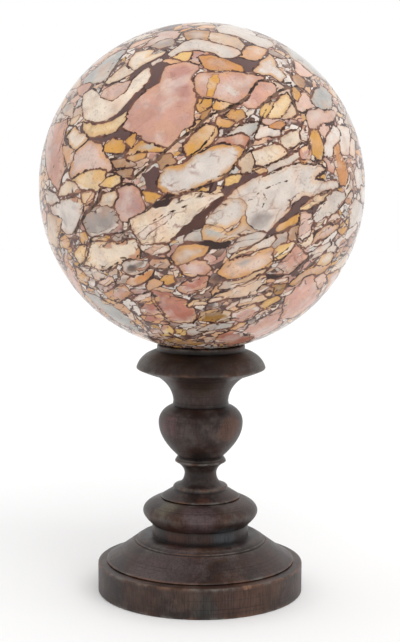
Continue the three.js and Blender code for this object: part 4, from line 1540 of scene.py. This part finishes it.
def grown(
    name: str, blank: bpy.types.Object, tree: bpy.types.NodeTree, values: Mapping[str, object]
) -> bpy.types.Object:
    """Run a tree on a blank and keep the result as a plain mesh.

    Args:
        name: The finished piece's name.
        blank: The object that the tree starts from. It is removed.
        tree: The tree.
        values: What its named inputs take.

    Returns:
        The finished piece, at the origin.
    """
    bpy.context.scene.collection.objects.link(blank)
    modifier = blank.modifiers.new("made", "NODES")
    modifier.node_group = tree
    for port in tree.interface.items_tree:
        if port.in_out == "INPUT" and port.name in values:
            modifier[port.identifier] = values[port.name]
    depsgraph = bpy.context.evaluated_depsgraph_get()
    mesh = bpy.data.meshes.new_from_object(blank.evaluated_get(depsgraph), depsgraph=depsgraph)
    mesh.name = name
    blank.modifiers.remove(modifier)
    bpy.data.objects.remove(blank)
    piece = bpy.data.objects.new(name, mesh)
    bpy.context.scene.collection.objects.link(piece)
    return piece


def settle(piece: bpy.types.Object, node: str, slot: str) -> None:
    """Put a finished piece in the place of its solid.

    Args:
        piece: The finished piece.
        node: The solid that it stands for.
        slot: The record's material slot.
    """
    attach(piece, BODY)
    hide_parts(node)
    log.info("%s: %d faces, slot %s", piece.name, len(piece.data.polygons), slot)


# ---------------------------------------------------------------- stand


@dataclass
class TurnedPiece(ABC):
    """A piece of the stand, turned from one block of wood."""

    seam: float = 0.3  # gap under it
    easing: float = 0.6  # bevel of its sharp edges

    NAME: ClassVar[str]
    NODE: ClassVar[str]
    WOOD: ClassVar[str]
    PATCHES: ClassVar[tuple[WearAndPaintedLightPatch, ...]]
    SEED: ClassVar[float]
    FLATS: ClassVar[int] = 256

    @abstractmethod
    def outline(self, bottom: float) -> Outline:
        """Draw the piece's outline.

        Args:
            bottom: The height of its underside.

        Returns:
            The outline.
        """

    def build(self, lathe: Lathe, below: float) -> float:
        """Turn and dress the piece.

        Args:
            lathe: The lathe tree.
            below: The height of the top of what it stands on.

        Returns:
            The height of its top on the axis.
        """
        outline = self.outline(below + self.seam)
        wood = DarkWood(self.WOOD, self.PATCHES).make()
        piece = lathe.turn(self.NAME, outline, wood, Seed=self.SEED, Flats=self.FLATS)
        settle(piece, self.NODE, "dark_wood")
        return outline.at[1]


@dataclass
class BaseDisc(TurnedPiece):
    """The flat disc that the stand stands on."""

    seam: float = 0.0
    radius: float = 64.5
    wall: float = 17.8
    corner: float = 0.4
    ledge: float = 5.2
    ledge_rise: float = 0.5

    NAME, NODE, WOOD, SEED = "base_disc", "stand_base_disc", "stained_wood_disc", 1.0
    PATCHES = (  # the upper edge is rubbed
        WearAndPaintedLightPatch(34, 64.5, 14.0, 20.0, 0x583C2D, 0.55),
        WearAndPaintedLightPatch(18, 64.5, 10.0, 14.0, 0x4A322A, 0.45),
        WearAndPaintedLightPatch(-33, 64.5, 11.0, 17.0, 0x50362A, 0.45),
        WearAndPaintedLightPatch(2, 64.5, 9.0, 9.0, 0x30332F, 0.6),
        WearAndPaintedLightPatch(-8, 64.5, 15.0, 12.0, 0x573E32, 0.4),
        WearAndPaintedLightPatch(25, 64.0, 18.2, 1.9, 0x8E6A50, 0.8),
        WearAndPaintedLightPatch(27.5, 64.0, 18.4, 1.6, 0x8E6A50, 0.8),
        WearAndPaintedLightPatch(65, 64.3, 18.2, 3.0, 0x1A120F, 0.9),
    )

    def outline(self, bottom: float) -> Outline:
        """The disc's outline, from the floor up."""
        return (
            Outline(bottom)
            .line(self.radius - self.easing)
            .line(self.radius, self.easing, soft=0.25)
            .line(self.radius, self.wall, soft=0.25)
            .line(self.radius - self.corner, self.corner, soft=0.4)
            .line(self.radius - self.ledge, self.ledge_rise, soft=0.4)
            .line(0)
        )


@dataclass
class FootMoulding(TurnedPiece):
    """Skirt, fillet, flat ring, drum and cushion, turned from one block."""

    skirt: float = 59.3
    skirt_rise: float = 11.8
    fillet: float = 40.9
    fillet_height: float = 1.1
    fillet_step: float = 1.1
    ring_rise: float = 2.4
    ring_width: float = 4.2
    drum: float = 30.3
    drum_height: float = 7.6
    cushion: float = 36.15
    cushion_below: float = 8.1
    cushion_above: float = 7.3
    crown: float = 28.6
    crown_rise: float = 1.0
    stem_foot: float = 25.0

    NAME, NODE, WOOD, SEED = "foot_moulding", "stand_foot_moulding", "stained_wood_moulding", 2.0
    PATCHES = (  # worn and greyed
        WearAndPaintedLightPatch(-24, 50.0, 25.0, 24.0, 0x564A4C, 0.5),
        WearAndPaintedLightPatch(-28, 30.0, 40.0, 9.0, 0x4A2C22, 0.8),
        WearAndPaintedLightPatch(28, 30.0, 40.0, 9.0, 0x3E4246, 0.8),
        WearAndPaintedLightPatch(-42, 30.0, 57.5, 8.0, 0x5B5340, 0.8),
        WearAndPaintedLightPatch(0, 36.0, 54.0, 12.0, 0x54454A, 0.7),
    )

    def outline(self, bottom: float) -> Outline:
        """The moulding's outline, from its underside up."""
        inner = self.fillet - self.fillet_step
        return (
            Outline(bottom)
            .line(self.skirt - self.easing)
            .line(self.skirt, self.easing)
            .curve(self.fillet + self.fillet_step, self.skirt_rise, (0.16, 0.09), (0.61, 0.58), soft=0.3)
            .line(self.fillet)
            .line(self.fillet, self.fillet_height)
            .line(inner, soft=0.25)
            .curve(inner - self.ring_width, self.ring_rise, (0.2, 0.6), (0.6, 1.0))
            .line(self.drum, soft=0.5)
            .line(self.drum, self.drum_height)
            .curve(self.cushion, self.cushion_below, (0.26, 0.2), (1.0, 0.6))
            .curve(self.crown, self.cushion_above, (0.0, 0.42), (0.36, 0.72), soft=0.5)
            .line(self.stem_foot + self.seam, self.crown_rise, soft=0.5)
            .line(0)
        )


@dataclass
class StandStem(TurnedPiece):
    """Stem foot, slender neck, urn, and the lip and collar that carry the sphere."""

    ball: float = 100.0  # radius of the sphere that it carries
    foot: float = 25.0
    cone_rise: float = 4.2
    step: float = 17.2
    step_setback: float = 1.2
    step_height: float = 2.4
    step_rounding: float = 0.9
    neck: float = 10.0
    neck_below: float = 7.5
    neck_above: float = 6.4
    bead: float = 16.05
    ring_lip: float = 2.15
    bead_under: float = 1.2
    bead_band: float = 0.5
    bead_over: float = 0.8
    bead_groove: float = 0.8
    bead_fillet: float = 0.8
    urn_foot: float = 13.9
    urn_foot_rise: float = 1.2
    belly: float = 26.45
    belly_below: float = 21.6
    belly_above: float = 11.0
    throat: float = 17.2
    throat_fillet: float = 0.3
    throat_fillet_height: float = 1.4
    throat_rise: float = 1.0
    flare: float = 28.0
    flare_rise: float = 16.2
    lip: float = 40.45
    lip_under_rise: float = 4.4
    lip_edge: float = 0.6
    lip_rise: float = 8.6
    lip_inset: float = 6.5
    cove_rise: float = 2.4
    collar: float = 27.45
    collar_foot: float = 0.6
    collar_height: float = 3.0
    seat: float = 25.0
    seat_clearance: float = 0.3

    NAME, NODE, WOOD, SEED, FLATS = "stem", "stand_stem", "stained_wood_stem", 5.0, 224
    PATCHES = (  # rubbed patches, plus painted shade under the sphere and in the belly's crease, and painted reflections on the lip
        WearAndPaintedLightPatch(-50, 26.0, 108.0, 9.0, 0x5E4140, 0.75),
        WearAndPaintedLightPatch(48, 26.0, 106.0, 10.0, 0x5A3A2C, 0.8),
        # painted shade: the dark shadow in the crease under the belly
        WearAndPaintedLightPatch(0, 15.0, 88.0, 7.0, 0x17100D, 0.9),
        WearAndPaintedLightPatch(3, 22.0, 134.0, 8.0, 0x3A2A1C, 0.8),
        # painted shade: the lip's upper face, shaded by the sphere above
        WearAndPaintedLightPatch(0, 36.0, 148.0, 22.0, 0x241714, 0.7),
        # painted reflection: grey rim where the lip turns away at each side
        WearAndPaintedLightPatch(-80, 38.0, 147.0, 16.0, 0x62625C, 0.6),
        WearAndPaintedLightPatch(80, 38.0, 147.0, 16.0, 0x62625C, 0.6),
        WearAndPaintedLightPatch(5, 24.0, 61.5, 5.0, 0x4A2A22, 0.7),
        # painted shade: the collar, darkened where the sphere shades it
        WearAndPaintedLightPatch(0, 27.0, 152.5, 16.0, 0x1C1512, 0.6),
    )

    def outline(self, bottom: float) -> Outline:
        """The stem's outline, from its underside up."""
        return self.urn_and_seat(self.foot_and_neck(Outline(bottom)))

    def foot_and_neck(self, outline: Outline) -> Outline:
        """Turn the cone, the small step, the neck and its ring.

        Args:
            outline: The outline so far.

        Returns:
            The outline.
        """
        groove = self.bead - self.bead_groove
        return (
            outline.line(self.foot - self.easing)
            .line(self.foot, self.easing)
            .line(self.step + self.step_setback, self.cone_rise, soft=0.25)
            .line(self.step, self.easing, soft=0.2)
            .line(self.step, self.step_height - self.step_rounding, soft=0.2)
            .line(self.step - self.step_rounding, self.step_rounding, soft=0.35)
            .curve(self.neck, self.neck_below, (0.65, 0.11), (0.95, 0.39), soft=0.2)
            .curve(self.bead - self.ring_lip, self.neck_above, (0.03, 0.38), (0.41, 0.73))
            .line(self.bead, self.bead_under)
            .line(self.bead, self.bead_band, soft=0.2)
            .line(self.bead - self.bead_groove / 2, self.bead_over, soft=0.2)
            .line(groove, soft=0.1)
            .line(groove, self.bead_fillet, soft=0.1)
            .line(self.urn_foot, self.urn_foot_rise)
        )

    def urn_and_seat(self, outline: Outline) -> Outline:
        """Turn the urn, the lip, the collar and the dish.

        Args:
            outline: The outline so far.

        Returns:
            The outline.
        """
        fillet = self.throat + self.throat_fillet
        return (
            outline.curve(self.belly, self.belly_below, (0.33, 0.18), (1.0, 0.54))
            .curve(fillet + self.throat_fillet, self.belly_above, (0.0, 0.5), (0.41, 0.82), soft=0.5)
            .line(fillet, soft=0.2)
            .line(fillet, self.throat_fillet_height, soft=0.2)
            .line(self.throat, self.throat_rise, soft=0.3)
            .curve(self.flare, self.flare_rise, (0.04, 0.43), (0.4, 0.76), soft=0.5)
            .curve(self.lip - self.lip_edge, self.lip_under_rise, (0.34, 0.27), (0.71, 0.64), soft=0.5)
            .line(self.lip, self.lip_edge, soft=0.2)
            .curve(self.lip - self.lip_inset, self.lip_rise, (0.12, 0.39), (0.48, 0.77), soft=0.25)
            .curve(self.collar + self.collar_foot, self.cove_rise, (0.35, 0.45), (0.75, 0.85), soft=0.5)
            .line(self.collar, self.collar_foot, soft=0.2)
            .line(self.collar, self.collar_height - self.easing, soft=0.2)
            .line(self.collar - self.easing, self.easing, soft=0.25)
            .line(self.seat, soft=0.2)
            .dish(self.ball + self.seat_clearance)
        )


# ---------------------------------------------------------------- sphere


@dataclass
class MarbleSphere:
    """The polished breccia sphere."""

    radius: float = 100.0
    clearance: float = 0.3
    cuts: int = 128
    crowding: float = 0.35  # how much closer the mesh's points lie on the photographed side

    INPUTS = {
        "Radius": ("Float", 0.1),
        "Height": ("Float", 0.25),
        "Cuts": ("Int", 128),
        "Crowding": ("Float", 0.35),
        "Finish": ("Material", None),
    }

    def ball_tree(self) -> bpy.types.NodeTree:
        """Write the tree that swells a cube's even grid into a ball.

        Returns:
            The tree.
        """
        sheet, given = start_tree("even_ball", self.INPUTS)
        count = sheet.plus(given["Cuts"], 1.0)
        feeds = {"Size": (2.0, 2.0, 2.0), "Vertices X": count, "Vertices Y": count, "Vertices Z": count}
        cube = sheet.one("GeometryNodeMeshCube", feeds)
        spot = sheet.one("GeometryNodeInputPosition")
        evened = [
            sheet.math("TANGENT", sheet.times(side, math.pi / 4))
            for side in sheet.split(spot)
        ]
        aim = sheet.vector("NORMALIZE", sheet.joined(dict(enumerate(evened))))
        front = sheet.joined({1: sheet.times(given["Crowding"], -1.0)})
        aim = sheet.vector("NORMALIZE", sheet.vector("ADD", aim, front))
        lift = sheet.joined({2: given["Height"]})
        place = sheet.vector("ADD", sheet.vector("SCALE", aim, given["Radius"]), lift)
        ball = sheet.one("GeometryNodeSetPosition", {"Geometry": cube, "Position": place})
        end_tree(sheet, ball, given["Finish"])
        return sheet.tree

    def build(self, seat: float, view: Viewpoint) -> None:
        """Make and dress the sphere.

        Args:
            seat: The height of the dish's lowest point.
            view: The place that the photograph was taken from.
        """
        centre = seat + self.clearance + self.radius
        blank = bpy.data.objects.new("ball_blank", bpy.data.meshes.new("ball_blank"))
        values = {"Radius": self.radius * MM, "Height": centre * MM, "Cuts": self.cuts, "Crowding": self.crowding,
                  "Finish": BrecciaMarble().make()}
        piece = grown("sphere", blank, self.ball_tree(), values)
        laid = StoneLayout(Vector((0, 0, centre)), self.radius, view).lay(piece.data)
        log.info("sphere: %d fragments laid", laid)
        settle(piece, "marble_sphere", "breccia_marble")


# ---------------------------------------------------------------- studio


@dataclass
class Studio:
    """A plain pale floor in even white light."""

    floor_size: float = 6.0
    white: float = 1.0
    front: float = 0.5  # the room behind the camera is dimmer than the white backdrop
    sun_from: tuple[float, float, float] = (0.45, -1.0, 1.2)
    sun_spread: float = 60.0  # how wide it looks, in degrees
    sun_power: float = 1.5

    def floor(self) -> None:
        """Lay the floor."""
        half = self.floor_size / 2
        mesh = bpy.data.meshes.new("floor")
        corners = [(-half, -half, 0), (half, -half, 0), (half, half, 0), (-half, half, 0)]
        mesh.from_pydata(corners, [], [(0, 1, 2, 3)])
        material, sheet, shader, place = material_sheet("pale_floor")
        tone = sheet.mix(sheet.noise(place, 300.0), (0.9, 0.9, 0.9), (0.93, 0.93, 0.93))
        sheet.feed(shader.inputs["Base Color"], tone)
        sheet.feed(shader.inputs["Roughness"], 0.9)
        mesh.materials.append(material)
        floor = bpy.data.objects.new("floor", mesh)
        bpy.context.scene.collection.objects.link(floor)

    def sun(self) -> None:
        """Hang one wide, soft sun that lights floor and object alike."""
        light = bpy.data.lights.new("soft_sun", "SUN")
        light.energy, light.angle = self.sun_power, math.radians(self.sun_spread)
        lamp = bpy.data.objects.new("soft_sun", light)
        lamp.rotation_euler = (-Vector(self.sun_from)).to_track_quat("-Z", "Y").to_euler()
        lamp.visible_glossy = False
        bpy.context.scene.collection.objects.link(lamp)

    def build(self) -> None:
        """Set the floor, the white surroundings and the sun."""
        scene = bpy.context.scene
        scene.view_settings.view_transform = "Standard"
        self.floor()
        world = bpy.data.worlds.new("white_room")
        world.use_nodes = True
        sheet = Wiring(world.node_tree)
        back = next(n for n in world.node_tree.nodes if n.type == "BACKGROUND")
        back.inputs["Color"].default_value = (1.0, 1.0, 1.0, 1.0)
        behind = sheet.split(sheet.add("ShaderNodeTexCoord").outputs["Generated"])[1]
        seen = sheet.add("ShaderNodeLightPath").outputs["Is Camera Ray"]
        room = sheet.math("MAXIMUM", sheet.span(behind, -0.75, 0.2, self.front, self.white), seen)
        sheet.feed(back.inputs["Strength"], room)
        scene.world = world
        self.sun()
        log.info("studio: floor, white room and sun")


def main() -> None:
    """Build the pieces from the floor up, then the studio."""
    logging.basicConfig(level=logging.INFO, format="%(name)s %(message)s")
    view = Viewpoint()
    view.build()
    lathe = Lathe()
    ball = MarbleSphere()
    top = 0.0
    for piece in (BaseDisc(), FootMoulding(), StandStem(ball=ball.radius)):
        top = piece.build(lathe, top)
    ball.build(top, view)
    Studio().build()


if __name__ == "__main__":
    main()
